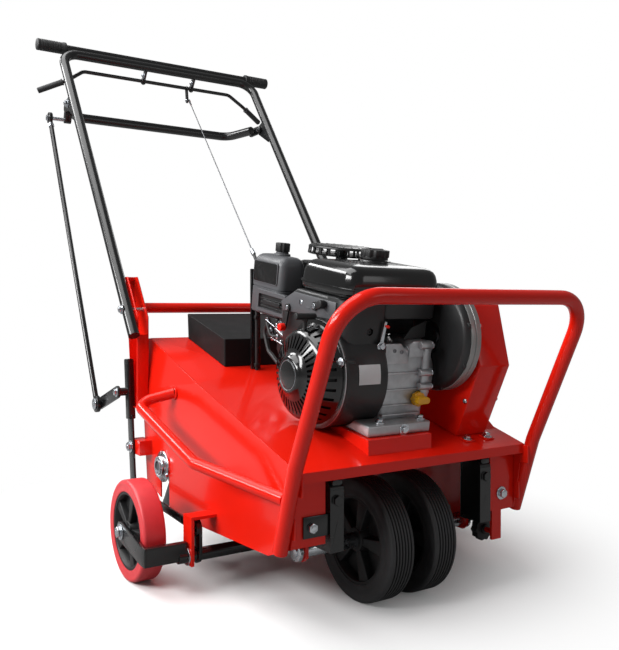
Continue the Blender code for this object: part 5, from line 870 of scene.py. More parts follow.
def buildShroud():
    front, inner, outer, radius = engine["shroudFront"], engine["inner"], engine["outer"], engine["drum"]
    wall, flank, bend = engine["wall"], engine["flank"], engine["bend"]
    profile = [(inner, radius - 0.003), (inner - 0.0005, radius), (inner - 0.004, radius),
        (inner - 0.006, radius - 0.0012), (outer + 0.01, radius - 0.0012), (outer + 0.008, radius),
        (outer + 0.0008, radius), (outer, radius - 0.001), (outer, radius - wall),
        (inner - wall, radius - wall), (inner - wall, 0.04), (inner, 0.04)]
    corner = [(flank + bend * (1 - math.cos(t)), front + bend * (1 - math.sin(t)))
        for t in (0, 0.35, 0.7, 1.05, 1.4, 1.5708)]
    hood = corner + [(inner - 0.0003, front), (inner - 0.0003, -0.01), (flank, -0.01)]
    screw = (-0.074, front, 0.086)
    face = carved(slab(hood, 0.052, 0.1396, 0.0016, axis="Z"), hexCutter(screw, forward, 0.0125, 0.012))
    shoulder = [(-0.03, 0.04), (0.134, 0.034), (0.146, 0.108), (0.094, 0.139), (-0.03, 0.139)]
    shapes = [(spun(profile, "X", steps=96), "shroudNylon"), (face, "shroudNylon"),
        (slab(shoulder, -0.1258, inner - 0.001, 0.005, 3), "shroudNylon"),
        capScrew((screw[0], front + 0.0045, screw[2]), forward, 0.0095, 0.003)]
    lip = []
    for x, a in corner:
        drop = bend - math.sqrt(max(bend ** 2 - max(flank + bend - x, 0) ** 2, 0))
        lip.append((x, max(a, front + drop - 0.0006)))
    lip += [(inner, front - 0.0006), (inner, front + 0.006), (-0.128, front + 0.006)]
    shapes.append((slab(lip, 0.136, 0.1396, 0.0006, 1, axis="Z"), "shroudNylon"))
    first, last = math.asin(0.034 / radius), math.asin(0.001 / radius)
    turns = [first + (last - first) * i / 8 for i in range(9)]
    label = [(-(radius + 0.0004) * math.cos(t), (radius + 0.0004) * math.sin(t)) for t in turns]
    label += [(-(radius - 0.002) * math.cos(t), (radius - 0.002) * math.sin(t)) for t in reversed(turns)]
    shapes.append((slab(label, -0.106, -0.062), "satinPlate"))
    for turn in engine["posts"]:
        spot = polar(radius - 0.006, math.radians(turn))
        shapes.append((pin(0.0065, outer, outer + 0.02, spot, 0.001, 20), "shroudNylon"))
    addEngine("fanShroud", shapes, "black_plastic", ["blower_housing"])


def buildStarter():
    profile = [(-0.1324, 0.0955), (-0.136, 0.0965), (-0.1368, 0.0945), (-0.1368, 0.089), (-0.14, 0.0868),
        (-0.143, 0.086), (-0.164, 0.078), (-0.168, 0.0745), (-0.1705, 0.069), (-0.18, 0.043),
        (-0.182, 0.0385), (-0.1855, 0.0345), (-0.189, 0.0318), (-0.19, 0.0295), (-0.19, 0.027),
        (-0.1886, 0.0255), (-0.1886, 0.0)]
    inside = [(x + 0.003, max(r - 0.0026, 0.0)) for x, r in reversed(profile[3:-1])]
    shell = spun(profile + [(-0.1856, 0.0)] + inside + [(-0.1324, 0.084)], "X", steps=120)
    half = engine["slotWidth"] / 2

    def faceSlot():
        return block((-0.188, -half, 0.046), (-0.16, half, 0.0695))

    def sideSlot():
        return block((-0.1625, -half - 0.0005, 0.07), (-0.145, half + 0.0005, 0.092))

    slots = joined(rowRound(faceSlot, engine["slots"]), rowRound(sideSlot, engine["sideSlots"]))
    shapes = [carved(shell, slots), drum(0.0245, -0.19, -0.188, "X", bevel=0.0008, steps=56)]
    # The zinc ring on the black boss is a painted highlight: the ring of light that the boss catches.
    bossHighlightRing = [(-0.1888, 0.0246), (-0.1897, 0.025), (-0.1897, 0.0262), (-0.1888, 0.0266)]
    # A dark cone inside the cover: it stands for the flywheel fan, and is also painted shade seen through the
    # slots.
    fanShadeCone = [(-0.17, 0.07), (-0.14, 0.08), (-0.14, 0.078), (-0.168, 0.03)]
    # The pale aluminium ring along the edge of the black flange is a painted highlight.
    rim = [(-0.1324, 0.0958), (-0.1336, 0.0966), (-0.135, 0.0966), (-0.1362, 0.0958)]
    rings = (bossHighlightRing, 72, "brightZinc"), (fanShadeCone, 60, "corePolypropylene"), (rim, 96, "dieCastAluminium")
    shapes += [(spun(ring, "X", steps=steps), finish) for ring, steps, finish in rings]
    for turn in engine["posts"]:
        spot = polar(0.0905, math.radians(turn))
        shapes += [pin(0.0075, -0.1382, -0.134, spot, 0.001, 24),
            bolt((-0.1382, *spot), (-1, 0, 0), 0.01, 0.0045)]
    addEngine("starterCover", shapes, "gloss_plastic", ["recoil_cover"])

    height, (far, near) = engine["gripHeight"], engine["gripEnds"]
    shapes = [pipe([(far, 0, height), (near, 0, height)], 0.0058, sides=24),
        pin(0.006, far - 0.0012, far + 0.0018, (0, height), 0.0015, 24),
        pin(0.006, near - 0.0018, near + 0.0012, (0, height), 0.0015, 24),
        (drum(0.0034, 0.0812, 0.1, "Z", (-0.163, 0, 0), 0.0, 20), "gripVinyl"),
        drum(0.0052, 0.0935, 0.099, "Z", (-0.163, 0, 0), 0.0012, 24)]
    addEngine("starterGrip", shapes, "black_plastic", ["recoil_grip"], "recoil_grip")


def buildCasting():
    shapes = [block((-0.04, -0.0745, -0.078), (0.0585, 0.06, 0.0575), 0.009, 4),
        drum(0.0695, 0.05, 0.08, "X", bevel=0.003, steps=72),
        drum(0.064, 0.078, 0.0864, "X", bevel=0.004, steps=72),
        block((-0.036, 0.03, -0.04), (0.05, 0.1498, 0.07), 0.006)]
    foot = block((-0.0895, -0.1115, -0.088), (0.048, 0.0618, -0.0685), 0.003)
    reach, edge = engine["inner"] + 0.0004, engine["drum"] + 0.001
    shapes.append(carved(foot, spun([(-0.2, 0), (-0.2, edge), (reach, edge), (reach, 0)], "X", steps=72)))
    for i in range(9):
        a = 0.05 + 0.0115 * i
        shapes.append(block((-0.041, a - 0.0013, -0.036), (0.0548, a + 0.0013, 0.0692), 0.0006, 1))
    for b, depth in ((0.012, 0.0035), (-0.018, 0.003), (-0.046, 0.0035), (-0.0625, 0.006)):
        shapes.append(block((-0.0385, -0.0745 - depth, b - 0.0022), (0.048, -0.07, b + 0.0022), 0.0018, 2))
    ear = [(-0.043, 0.0575), (-0.043, 0.066), (-0.01, 0.066), (0.01, 0.043), (0.01, 0.03), (-0.043, 0.03)]
    hump = [(0.0115, 0.04), (0.0115, 0.064), (0.019, 0.069), (0.054, 0.069), (0.06, 0.062), (0.06, 0.04)]
    flange = [(0.044, 0.06), (0.048, 0.069), (0.062, 0.069), (0.0655, 0.06), (0.06, 0.05), (0.06, 0.023),
        (0.0655, 0.018), (0.0655, 0.006), (0.06, 0.001), (0.062, -0.018), (0.0655, -0.024), (0.06, -0.038),
        (0.048, -0.04), (0.044, -0.02)]
    shapes.append(slab(ear, -0.079, -0.0735, 0.001, axis="Y"))
    for x, b in ((-0.024, 0.0535), (-0.008, 0.051)):
        shapes.append((capScrew((x, -0.0788, b), forward, 0.0072, 0.002), "temperedSteel"))
    shapes += [slab(hump, -0.077, -0.03, 0.002, axis="Y"), slab(flange, -0.08, -0.07, 0.0012, axis="Y")]
    for x, b in ((0.052, 0.062), (0.056, 0.012), (0.058, -0.013)):
        shapes += [pin(0.0068, x - 0.02, x + 0.006, (-0.08, b), 0.0012, 28),
            bolt((x + 0.006, -0.08, b), (1, 0, 0), 0.009, 0.0045)]
    shapes.append(bolt((-0.012, -0.1113, -0.079), forward, 0.0125, 0.0052))
    for x, a in ((-0.058, -0.1), (0.034, -0.098), (0.034, 0.045)):
        shapes += [drum(0.0085, -0.07, -0.066, "Z", (x, a, 0), 0.001, 28),
            bolt((x, a, -0.066), (0, 0, 1), 0.011, 0.0055)]
    stay = [(-0.056, 0.0565), (-0.0475, 0.0565), (-0.0425, 0.104), (-0.0475, 0.105)]
    guide = [(0.059, 0.1035), (0.059, 0.073), (0.028, 0.069), (0.008, 0.069), (0.025, 0.09)]
    shapes += [(slab(stay, -0.0745, -0.0725, 0.0005, 1, axis="Y"), "brightZinc"),
        bolt((-0.0515, -0.0745, 0.062), forward, 0.01, 0.005),
        (drum(0.0026, -0.079, -0.074, "Y", (-0.042, 0, 0.096), 0.0008, 18), "signalRedEnamel"),
        (slab(guide, -0.06, -0.057, 0.0008, 1, axis="Y"), "shroudNylon"),
        block((-0.0995, 0.1545, 0.0125), (-0.0105, 0.1995, 0.059), 0.006),
        drum(0.0178, -0.0198, 0.015, "Z", (-0.081, 0.177, 0), 0.004, 36),
        bolt((-0.081, 0.177, -0.0196), (0, 0, -1), 0.009, 0.004, False),
        drum(0.0118, 0.14, 0.16, "Y", (-0.02, 0, 0.036), 0.0, 28)]
    jets = (0.165, 0.048, 0.006), (0.188, 0.03, 0.005), (0.172, 0.022, 0.0042), (0.192, 0.052, 0.0042)
    for a, b, radius in jets:
        shapes.append((pin(radius, -0.106, -0.099, (a, b), 0.001, 24), "brightZinc"))
    wire = [(-0.105, 0.165, 0.048), (-0.1085, 0.15, 0.058), (-0.1085, 0.132, 0.086)]
    hose = [(-0.104, 0.188, 0.03), (-0.109, 0.205, 0.028), (-0.108, 0.225, 0.052)]
    shapes += [(pipe(wire, 0.0015, 0.01, 6, 12), "brightZinc"),
        (pipe(hose, 0.003, 0.012, 6, 16), "gripVinyl"),
        (block((-0.044, -0.015, 0.07), (0.069, 0.085, 0.139), 0.006, 2), "shroudNylon")]
    addEngine("crankcaseCasting", shapes, "cast_aluminium", ["crankcase"])


def buildLinks():
    hose = [(-0.09, 0.236, 0.06), (-0.092, 0.262, 0.03), (-0.092, 0.236, -0.01), (-0.094, 0.19, -0.026),
        (-0.09, 0.15, -0.018)]
    wire = [(-0.1062, 0.112, 0.056), (-0.1062, 0.196, 0.048), (-0.1062, 0.232, 0.056)]
    shapes = [(block((-0.104, 0.12, 0.004), (-0.1005, 0.186, 0.064), 0.0012, 2), "shroudNylon"),
        (block((-0.1, 0.2, 0.02), (-0.06, 0.24, 0.065), 0.005), "shroudNylon"),
        (pin(0.016, -0.103, -0.07, (0.172, 0.01), 0.003, 36), "shroudNylon"),
        (pipe(hose, 0.0042, 0.018, 8, 18), "gripVinyl"), (pipe(wire, 0.0015, 0.008, 6, 12), "brightZinc"),
        (pipe([(-0.1062, 0.15, 0.018), (-0.1062, 0.205, 0.024)], 0.0012, sides=12), "brightZinc"),
        (slab(strap((0.136, 0.052), (0.152, 0.02), 0.0065), -0.1062, -0.1042, 0.0005), "brightZinc"),
        (slab(strap((0.205, 0.024), (0.232, 0.056), 0.0055), -0.1052, -0.1032, 0.0005), "brightZinc")]
    coil = [(-0.0006, 0.0026), (0.0006, 0.0026), (0.0006, 0.0038), (-0.0006, 0.0038)]
    for i in range(14):
        place = Vector((-0.1085, 0.156 + 0.0022 * i, 0.037 + 0.0006 * i))
        shapes.append((turnTo(spun(coil, "Z", steps=16), (0, 0.0022, 0.0006), place), "brightZinc"))
    nuts = (0.128, 0.03, 0.0085), (0.178, 0.058, 0.0075), (0.216, 0.038, 0.009), (0.138, 0.012, 0.0075)
    for a, b, width in nuts:
        shapes.append(bolt((-0.1038, a, b), (-1, 0, 0), width, 0.0038))
    addEngine("carburettorLinks", shapes, "cast_aluminium")


def buildGearCase():
    body, rim, low, high, count = (gearCase[key] for key in ("body", "rim", "inner", "outer", "bolts"))
    middle = gearCase["a"], gearCase["b"]
    shell = [(low, 0.03), (low, body - 0.01), (low + 0.003, body - 0.004), (low + 0.008, body - 0.001),
        (0.0985, body), (0.0985, 0.03)]
    ring = [(0.0986, 0.06), (0.0986, rim - 0.0004), (0.1, rim), (0.107, rim), (0.108, rim - 0.0016),
        (0.1095, rim - 0.0016), (0.1105, rim), (high - 0.0015, rim), (high, rim - 0.0015), (high, 0.06)]
    face = [(high - 0.004, 0.013), (high - 0.004, 0.088), (high - 0.001, 0.091), (high - 0.0005, 0.06),
        (0.1245, 0.045), (0.1258, 0.04), (0.1258, 0.013)]
    rings = (shell, 96, "shroudNylon"), (ring, 120, "machinedAluminium"), (face, 96, "shroudNylon")
    shapes = [(spun(profile, "X", (0, *middle), steps), finish) for profile, steps, finish in rings]
    for i in range(count):
        turn = 2 * math.pi * (i + 0.5) / count
        lug = pin(0.0052, low + 0.006, 0.0985, polar(body - 0.003, turn, middle), 0.001, 20)
        shapes += [bolt((high - 0.0008, *polar(0.094, turn, middle)), (1, 0, 0), 0.008, 0.0035, False),
            (lug, "shroudNylon")]
    addEngine("gearHousing", shapes, "black_plastic", ["gearcase"])


def buildMuffler():
    base, top, radius, count = guard["base"], guard["top"], guard["radius"], guard["windows"]
    middle = (*guard["centre"], 0)
    rise = [(0.075, 0.005), (0.077, 0.001), (0.08, 0.0), (0.128, 0.0), (0.1285, -0.0012), (0.1315, -0.0012),
        (0.132, 0.0), (0.175, 0.0), (0.178, 0.001), (0.18, 0.005)]
    plate = [(base, 0.0), (base, radius - 0.004), (base + 0.0008, radius - 0.001), (base + 0.0028, radius),
        (base + 0.0034, radius - 0.002), (base + 0.0022, radius - 0.005), (base + 0.0022, 0.0)]
    crown = [(top - 0.0045, radius - 0.0008), (top - 0.0028, radius - 0.0022),
        (top - 0.0012, radius - 0.007), (top - 0.0004, radius - 0.018), (top, radius - 0.034), (top, 0.0),
        (top - 0.002, 0.0), (top - 0.0022, radius - 0.034), (top - 0.0028, radius - 0.017),
        (top - 0.004, radius - 0.0075), (top - 0.0062, radius - 0.003), (top - 0.0062, radius - 0.0008)]
    web = [(radius - 0.0042, base + 0.001), (radius - 0.0004, base + 0.001), (radius - 0.0012, top - 0.004),
        (radius - 0.0052, top - 0.004)]

    def bar():
        return slab(web, -0.0022, 0.0022, 0.0005, 1, axis="Y")

    def topRib():
        return block((0.03, -0.0011, top - 0.0026), (radius - 0.01, 0.0011, top - 0.0002), 0.0004, 1)

    black = [drum(0.012, 0.178, top - 0.001, "Z", middle, 0.0, 28), spun(plate, "Z", middle, 88),
        spun(crown, "Z", middle, 88), rowRound(bar, count, "Z", middle),
        rowRound(topRib, count, "Z", middle, 0.14)]
    pipeEnd = joined(drum(0.0108, 0.1502, 0.168, "Y", (0.03, 0, 0.057), 0.0, 32),
        block((0.018, 0.1585, 0.046), (0.042, 0.1815, 0.084), 0.003, 2))
    shapes = [moulded((-0.04, 0.158), (0.085, 0.235), 0.012, rise)]
    shapes += [(shape, "blackPowderCoat") for shape in black] + [(pipeEnd, "temperedSteel")]
    addEngine("silencer", shapes, "gloss_plastic", ["muffler"])


def buildCleaner():
    low, high, corner, base, top = (cleaner[key] for key in ("low", "high", "corner", "base", "top"))
    face, outer, middle = low[0], low[0] - 0.006, (-0.078, 0.236, 0)
    rise = [(base, 0.004), (base + 0.002, 0.001), (base + 0.005, 0.0), (0.118, 0.0), (0.1186, 0.0014),
        (0.1204, 0.0014), (0.121, 0.0), (0.168, 0.0006), (0.176, 0.003), (0.1815, 0.007), (0.1848, 0.012),
        (0.1858, 0.02)]

    def panel(lowest, highest, radius, first, last, *edge):
        return slab(roundRect(lowest, highest, radius), first, last, *edge)

    box = panel((0.15, 0.072), (0.262, 0.116), 0.004, outer, face + 0.004, 0.0008, 1)
    window = panel((0.157, 0.079), (0.252, 0.108), 0.003, outer - 0.01, face + 0.001)
    shapes = [moulded(low, high, corner, rise),
        panel((0.193, 0.128), (0.289, 0.173), 0.006, face - 0.0014, face + 0.004, 0.0006, 1),
        (panel((0.1955, 0.1305), (0.2865, 0.1705), 0.004, face - 0.0018, face - 0.001), "tankPolyethylene"),
        drum(0.0168, top - 0.004, top + 0.0035, "Z", middle, 0.0015, 40),
        drum(0.0128, top, top + 0.007, "Z", middle, 0.0008, 32), carved(box, window),
        (panel((0.158, 0.08), (0.251, 0.107), 0.003, face - 0.0012, face + 0.002), "corePolypropylene"),
        (panel((0.17, 0.089), (0.236, 0.0975), 0.003, outer + 0.0005, face + 0.001, 0.0008, 1),
            "shroudNylon")]
    for i in range(3):
        foot = 0.0835 + 0.0075 * i
        rib = block((face - 0.004, 0.16, foot), (face - 0.001, 0.249, foot + 0.0015), 0.0004, 1)
        shapes.append((rib, "shroudNylon"))
    shapes.append((block((-0.0998, 0.1605, 0.0603), (-0.0562, 0.1958, 0.0995), 0.005), "shroudNylon"))
    addEngine("filterBox", shapes, "grey_plastic", ["air_cleaner"])

    low, high = cleaner["knob"]
    shapes = [slab(scallop(0.0138, 0.0007, 10, middle), low, high, 0.001, axis="Z"),
        drum(0.0105, high - 0.001, high + 0.0001, "Z", middle, 0.0004, 32)]
    addEngine("filterKnob", shapes, "black_plastic", ["cleaner_knob"], "cleaner_knob")


def buildControls():
    face, throttlePost, chokePost = controls["face"], controls["throttlePost"], controls["chokePost"]
    screw = controls["screw"]
    plate = slab([(-0.04, 0.102), (0.13, 0.092), (0.14, 0.108), (0.096, 0.132), (-0.04, 0.132)], face,
        face + 0.004, 0.0012)
    shapes = [carved(plate, hexCutter((face, *screw), (-1, 0, 0), 0.0105, 0.004)),
        (capScrew((face + 0.0022, *screw), (-1, 0, 0), 0.0085, 0.0025), "brightZinc")]
    for post in (throttlePost, chokePost):
        shapes.append((pin(0.0049, face - 0.0058, face + 0.001, post, 0.0006, 24), "brightZinc"))
    for a in (-0.02, 0.045):
        shapes.append(block((face - 0.0006, a - 0.006, 0.1085), (face + 0.001, a + 0.006, 0.1115), 0.0004, 1))
    addEngine("leverPanel", shapes, "grey_plastic", ["control_panel"])

    face -= 0.0003
    levers = [("throttle", throttlePost, 0.03, 165, "corePolypropylene", "black_plastic"),
        ("choke", chokePost, 0.038, -81, "signalRedEnamel", "red_paint")]
    for name, post, length, degrees, finish, slot in levers:
        turn = math.radians(degrees)
        tip = polar(length, turn, post)
        arm = slab(strap(polar(0.0085, turn, post), tip, 0.006), face - 0.0038, face - 0.0002, 0.0008)
        shapes = [(arm, "corePolypropylene"),
            (pin(0.0079, face - 0.004, face, post, 0.0006, 32, 0.0053), "corePolypropylene"),
            (pin(0.0073, face - 0.0138, face - 0.002, tip, 0.0016, 28), finish)]
        addEngine(name + "Lever", shapes, slot, [name + "_lever"], name + "_lever")

    seat = controls["plugSeat"]
    cap = slab(scallop(0.0132, 0.0007, 8), 0, 0.0095, 0.0012, axis="Z")
    wing = strap((0.0315, -0.0365), (0.05, -0.0365), 0.0062)
    lobe = strap((0.036, -0.0365), (0.046, -0.0365), 0.0078)
    shapes = [turnTo(cap, forward, (0.04, seat - 0.0002, -0.036)),
        drum(0.0088, seat - 0.001, seat + 0.01, "Y", (0.04, 0, -0.036), 0.0, 24),
        slab(wing, seat - 0.0212, seat - 0.007, 0.002, 3, axis="Y"),
        slab(lobe, seat - 0.015, seat - 0.007, 0.002, axis="Y")]
    addEngine("fillerPlug", shapes, "yellow_plastic", ["oil_cap"], "oil_cap")


buildTank()
buildShroud()
buildStarter()
buildCasting()
buildLinks()
buildGearCase()
buildMuffler()
buildCleaner()
buildControls()
print("engine done")

# Sheet metal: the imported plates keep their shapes. A weld and a small bevel soften their edges in place.
keptNodes = {"housing_deck": ("signalRedEnamel", 0.0015), "side_plate_right": ("signalRedEnamel", 0.0014),
    "side_plate_left": ("signalRedEnamel", 0.0014), "engine_riser": ("signalRedEnamel", 0.0016),
    "fork_channel_right": ("blackPowderCoat", 0.0014), "fork_channel_left": ("blackPowderCoat", 0.0014),
    "ballast_box": ("grainedPolyethylene", 0.003), "crankshaft": ("dieCastAluminium", 0.0),
    "output_shaft": ("temperedSteel", 0.0)}
keptEdge = {"weld": 2e-5, "segments": 3, "angle": 28}
deck = {"front": (-0.537, 0.265), "rear": (0.107, 0.453), "rearEdge": ((0.099, 0.138), (0.138, 0.448))}
mount = {"inner": 0.2503, "outer": 0.2772, "sheet": 0.003, "crossY": 0.132, "crossZ": 0.52,
    "crossRadius": 0.0115, "boltZ": 0.517, "boltRadius": 0.004}
beltCover = {"inner": 0.128, "outer": 0.204, "sheet": 0.002, "front": -0.481, "rear": -0.17,
    "top": ((-0.543, 0.415), (-0.515, 0.527), (-0.375, 0.52), (-0.235, 0.42)), "tabY": -0.4985,
    "tabs": (0.14, 0.19), "screws": ((-0.506, 0.35), (-0.27, 0.4))}
axle = {"radius": 0.01, "end": 0.1986, "face": 0.1866}
reel = {"y": 0.003, "z": 0.185, "first": -0.176, "pitch": 0.158, "ring": 0.078, "plate": 0.066,
    "plateThick": 0.008, "sleeve": 0.021, "sleeveEnd": 0.014, "bore": 0.0128, "tine": 0.0085,
    "tineBore": 0.0058, "tip": 0.14, "count": 5}
flange = {"radius": 0.033, "rim": 0.025, "thick": 0.014, "face": 0.2503}
knob = {"x": 0.203, "y": -0.483, "z": 0.098, "radius": 0.022, "thick": 0.016, "lobes": 10}
drive = {"beltX": 0.165, "beltWidth": 0.013, "gear": (-0.45332, 0.46689), "gearRadius": 0.045,
    "jack": (-0.2, 0.285), "jackRadius": 0.062, "chainX": 0.222, "pinion": 0.022, "wheel": 0.06,
    "idler": (-0.32298, 0.26344), "idlerPivot": (-0.37498, 0.27544), "idlerRadius": 0.022, "link": 0.0127}


def dressKept():
    for name, (finish, width) in keptNodes.items():
        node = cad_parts[name]
        node.data.materials.clear()
        node.data.materials.append(makeFinish(finish))
        if width:
            weld = node.modifiers.new("weld", "WELD")
            weld.merge_threshold = keptEdge["weld"]
            edge = node.modifiers.new("edge", "BEVEL")
            edge.width = width
            edge.segments = keptEdge["segments"]
            edge.limit_method = "ANGLE"
            edge.angle_limit = math.radians(keptEdge["angle"])
            edge.harden_normals = True


def deckZ(y):
    (y0, z0), (y1, z1) = deck["front"], deck["rear"]
    return z0 + (y - y0) * (z1 - z0) / (y1 - y0)


def rearY(z):
    (y0, z0), (y1, z1) = deck["rearEdge"]
    return y0 + (z - z0) * (y1 - y0) / (z1 - z0)


def insetOutline(outline, wall):
    area = sum(a[0] * b[1] - b[0] * a[1] for a, b in zip(outline, outline[1:] + outline[:1]))
    points = outline if area > 0 else list(reversed(outline))
    moved = []
    for i, here in enumerate(points):
        first = (Vector(here) - Vector(points[i - 1])).normalized()
        second = (Vector(points[(i + 1) % len(points)]) - Vector(here)).normalized()
        normal = (Vector((-first.y, first.x)) + Vector((-second.y, second.x))).normalized()
        moved.append(tuple(Vector(here) + normal * wall / max(0.3, normal.dot(Vector((-first.y, first.x))))))
    return moved


deckUp = Vector((0, deck["front"][1] - deck["rear"][1], deck["rear"][0] - deck["front"][0])).normalized()


def buildMount():
    shapes = []
    lower, narrow, wide = rearY(0.3), legY(0.5), legY(0.58)
    inner, outer, sheet = mount["inner"], mount["outer"], mount["sheet"]
    z = mount["boltZ"]
    spot = legY(z), z
    outline = [(lower - 0.034, 0.3), (lower, 0.3), (0.138, 0.448), (wide + 0.018, 0.578),
        (wide + 0.01, 0.59), (wide - 0.008, 0.59), (narrow - 0.014, 0.5), (narrow - 0.014, 0.455),
        (lower - 0.034, 0.34)]
    slot = [(narrow - 0.05, 0.462), (narrow + 0.02, 0.462), (wide + 0.012, 0.6), (narrow - 0.05, 0.6)]
    for side in (right, left):
        body = slab(outline, *span(side, inner, outer), 0.0022, 3)
        body = carved(body, slab(insetOutline(outline, sheet), *span(side, inner + sheet, outer + 0.02)))
        shapes += [carved(body, slab(slot, *span(side, inner + sheet, outer - sheet))),
            bolt((side * (handle["x"] + 0.0126), *spot), (side, 0, 0), 0.013, 0.0056, True, 0.0025),
            (pin(mount["boltRadius"], *span(side, inner, handle["x"] + 0.013), spot, 0.0, 20),
                "brightZinc")]
    reach, cross, radius = inner + 0.001, (mount["crossY"], mount["crossZ"]), mount["crossRadius"]
    shapes.append(pipe([(-reach, *cross), (reach, *cross)], radius, sides=32))
    for side in (right, left):
        shapes.append(weldBead((side * (reach - 0.0035), *cross), (1, 0, 0), radius + 0.0006, 0.0022))
    buildPiece("handleMount", shapes, "red_paint", ["handle_mount"])


def buildCover():
    front, rear = [(beltCover[end], deckZ(beltCover[end]) + 0.0006) for end in ("front", "rear")]
    top, low, high, wall = (beltCover[key] for key in ("top", "inner", "outer", "sheet"))
    deeper = [Vector(end) + (Vector(end) - Vector(near)).normalized() * 0.03
        for end, near in ((front, top[0]), (rear, top[-1]))]
    hollow = [tuple(deeper[0]), *top, tuple(deeper[1])]
    body = slab([front, *top, rear], low, high, 0.0028, 3)
    body = carved(body, slab(insetOutline(hollow, wall), low + wall, high - wall))
    shapes = [carved(body, pin(0.0185, low - 0.01, low + 0.01, drive["gear"]))]
    y = beltCover["tabY"]
    slope = Matrix.Rotation(math.atan2(-deckUp.y, deckUp.z), 4, "X")
    for x in beltCover["tabs"]:
        tab = block((x - 0.011, -0.01, 0.0), (x + 0.011, 0.01, 0.0025), 0.001, 2)
        seat = Matrix.Translation((0, y, deckZ(y) + 0.0003)) @ slope
        bmesh.ops.transform(tab, matrix=seat, verts=tab.verts)
        shapes += [tab, bolt((x, y, deckZ(y) + 0.003), deckUp, 0.0115, 0.005)]
    for y, z in beltCover["screws"]:
        for x, way in ((low - 0.0004, -1), (high + 0.0004, 1)):
            shapes.append((capScrew((x, y, z), (way, 0, 0), 0.009, 0.003), "brightZinc"))
    buildPiece("beltCover", shapes, "red_paint", ["belt_cover"])


def buildFront():
    y, z, face = frontWheel["y"], frontWheel["z"], axle["face"]
    shapes = [pin(axle["radius"], -axle["end"], axle["end"], (y, z), 0.001, 40)]
    for side in (right, left):
        for inner, outer, radius in ((0.002, 0.0256, 0.0157), (0.0704, 0.1799, 0.0132),
                (face, face + 0.009, 0.0178)):
            shapes.append(pin(radius, *span(side, inner, outer), (y, z), 0.0008, 44))
        screw = capScrew((side * (face + 0.0045), y - 0.0176, z), forward, 0.0055, 0.0012)
        shapes.append((screw, "temperedSteel"))
    buildPiece("frontAxle", shapes, "zinc", ["front_axle"])

    shapes = [(block((-0.229, -0.5168, 0.155), (-0.18, -0.5136, 0.19), 0.0014, 2), "blackPowderCoat")]
    for side in (right, left):
        seat = -0.5166 if side == right else -0.5136
        shapes.append(hexHead((side * 0.214, seat, 0.172), forward, 0.015, 0.0075, side == left, 0.001))
        low, high = span(side, 0.156, 0.176)
        shapes.append((block((low, -0.5215, 0.233), (high, -0.495, 0.2455), 0.004, 4), "blackPowderCoat"))
    shapes.append(hexHead((-0.2835, 0.11, 0.215), (-1, 0, 0), 0.017, 0.0065, True, 0.003))
    buildPiece("frontBolts", shapes, "zinc")

    shapes = [block((-0.0978, -0.1056, deckZ(-0.104) + 0.0002), (-0.0754, -0.1, 0.6022), 0.001, 2)]
    for z in (0.4, 0.5, 0.585):
        clip = block((-0.0915, -0.1128, z - 0.004), (-0.0817, -0.104, z + 0.004), 0.001, 2)
        shapes.append((clip, "gripVinyl"))
    buildPiece("cableStand", shapes, "black_paint")

    x, y, z, radius, rear = knob["x"], knob["y"], knob["z"], knob["radius"], knob["y"] + knob["thick"]
    body = slab(scallop(radius - 0.0006, 0.0012, knob["lobes"], (x, z)), y, rear, 0.0016, 3, axis="Y")
    shapes = [carved(body, drum(0.0054, y - 0.01, y + 0.03, "Y", (x, 0, z), 0.0, 32)),
        drum(0.0098, y - 0.0038, rear + 0.0038, "Y", (x, 0, z), 0.001, 36, 0.0053),
        drum(0.015, rear - 0.001, rear + 0.001, "Y", (x, 0, z), 0.0008, 40, 0.0053)]
    buildPiece("depthKnob", shapes, "black_plastic", ["depth_knob"], "depth_knob")


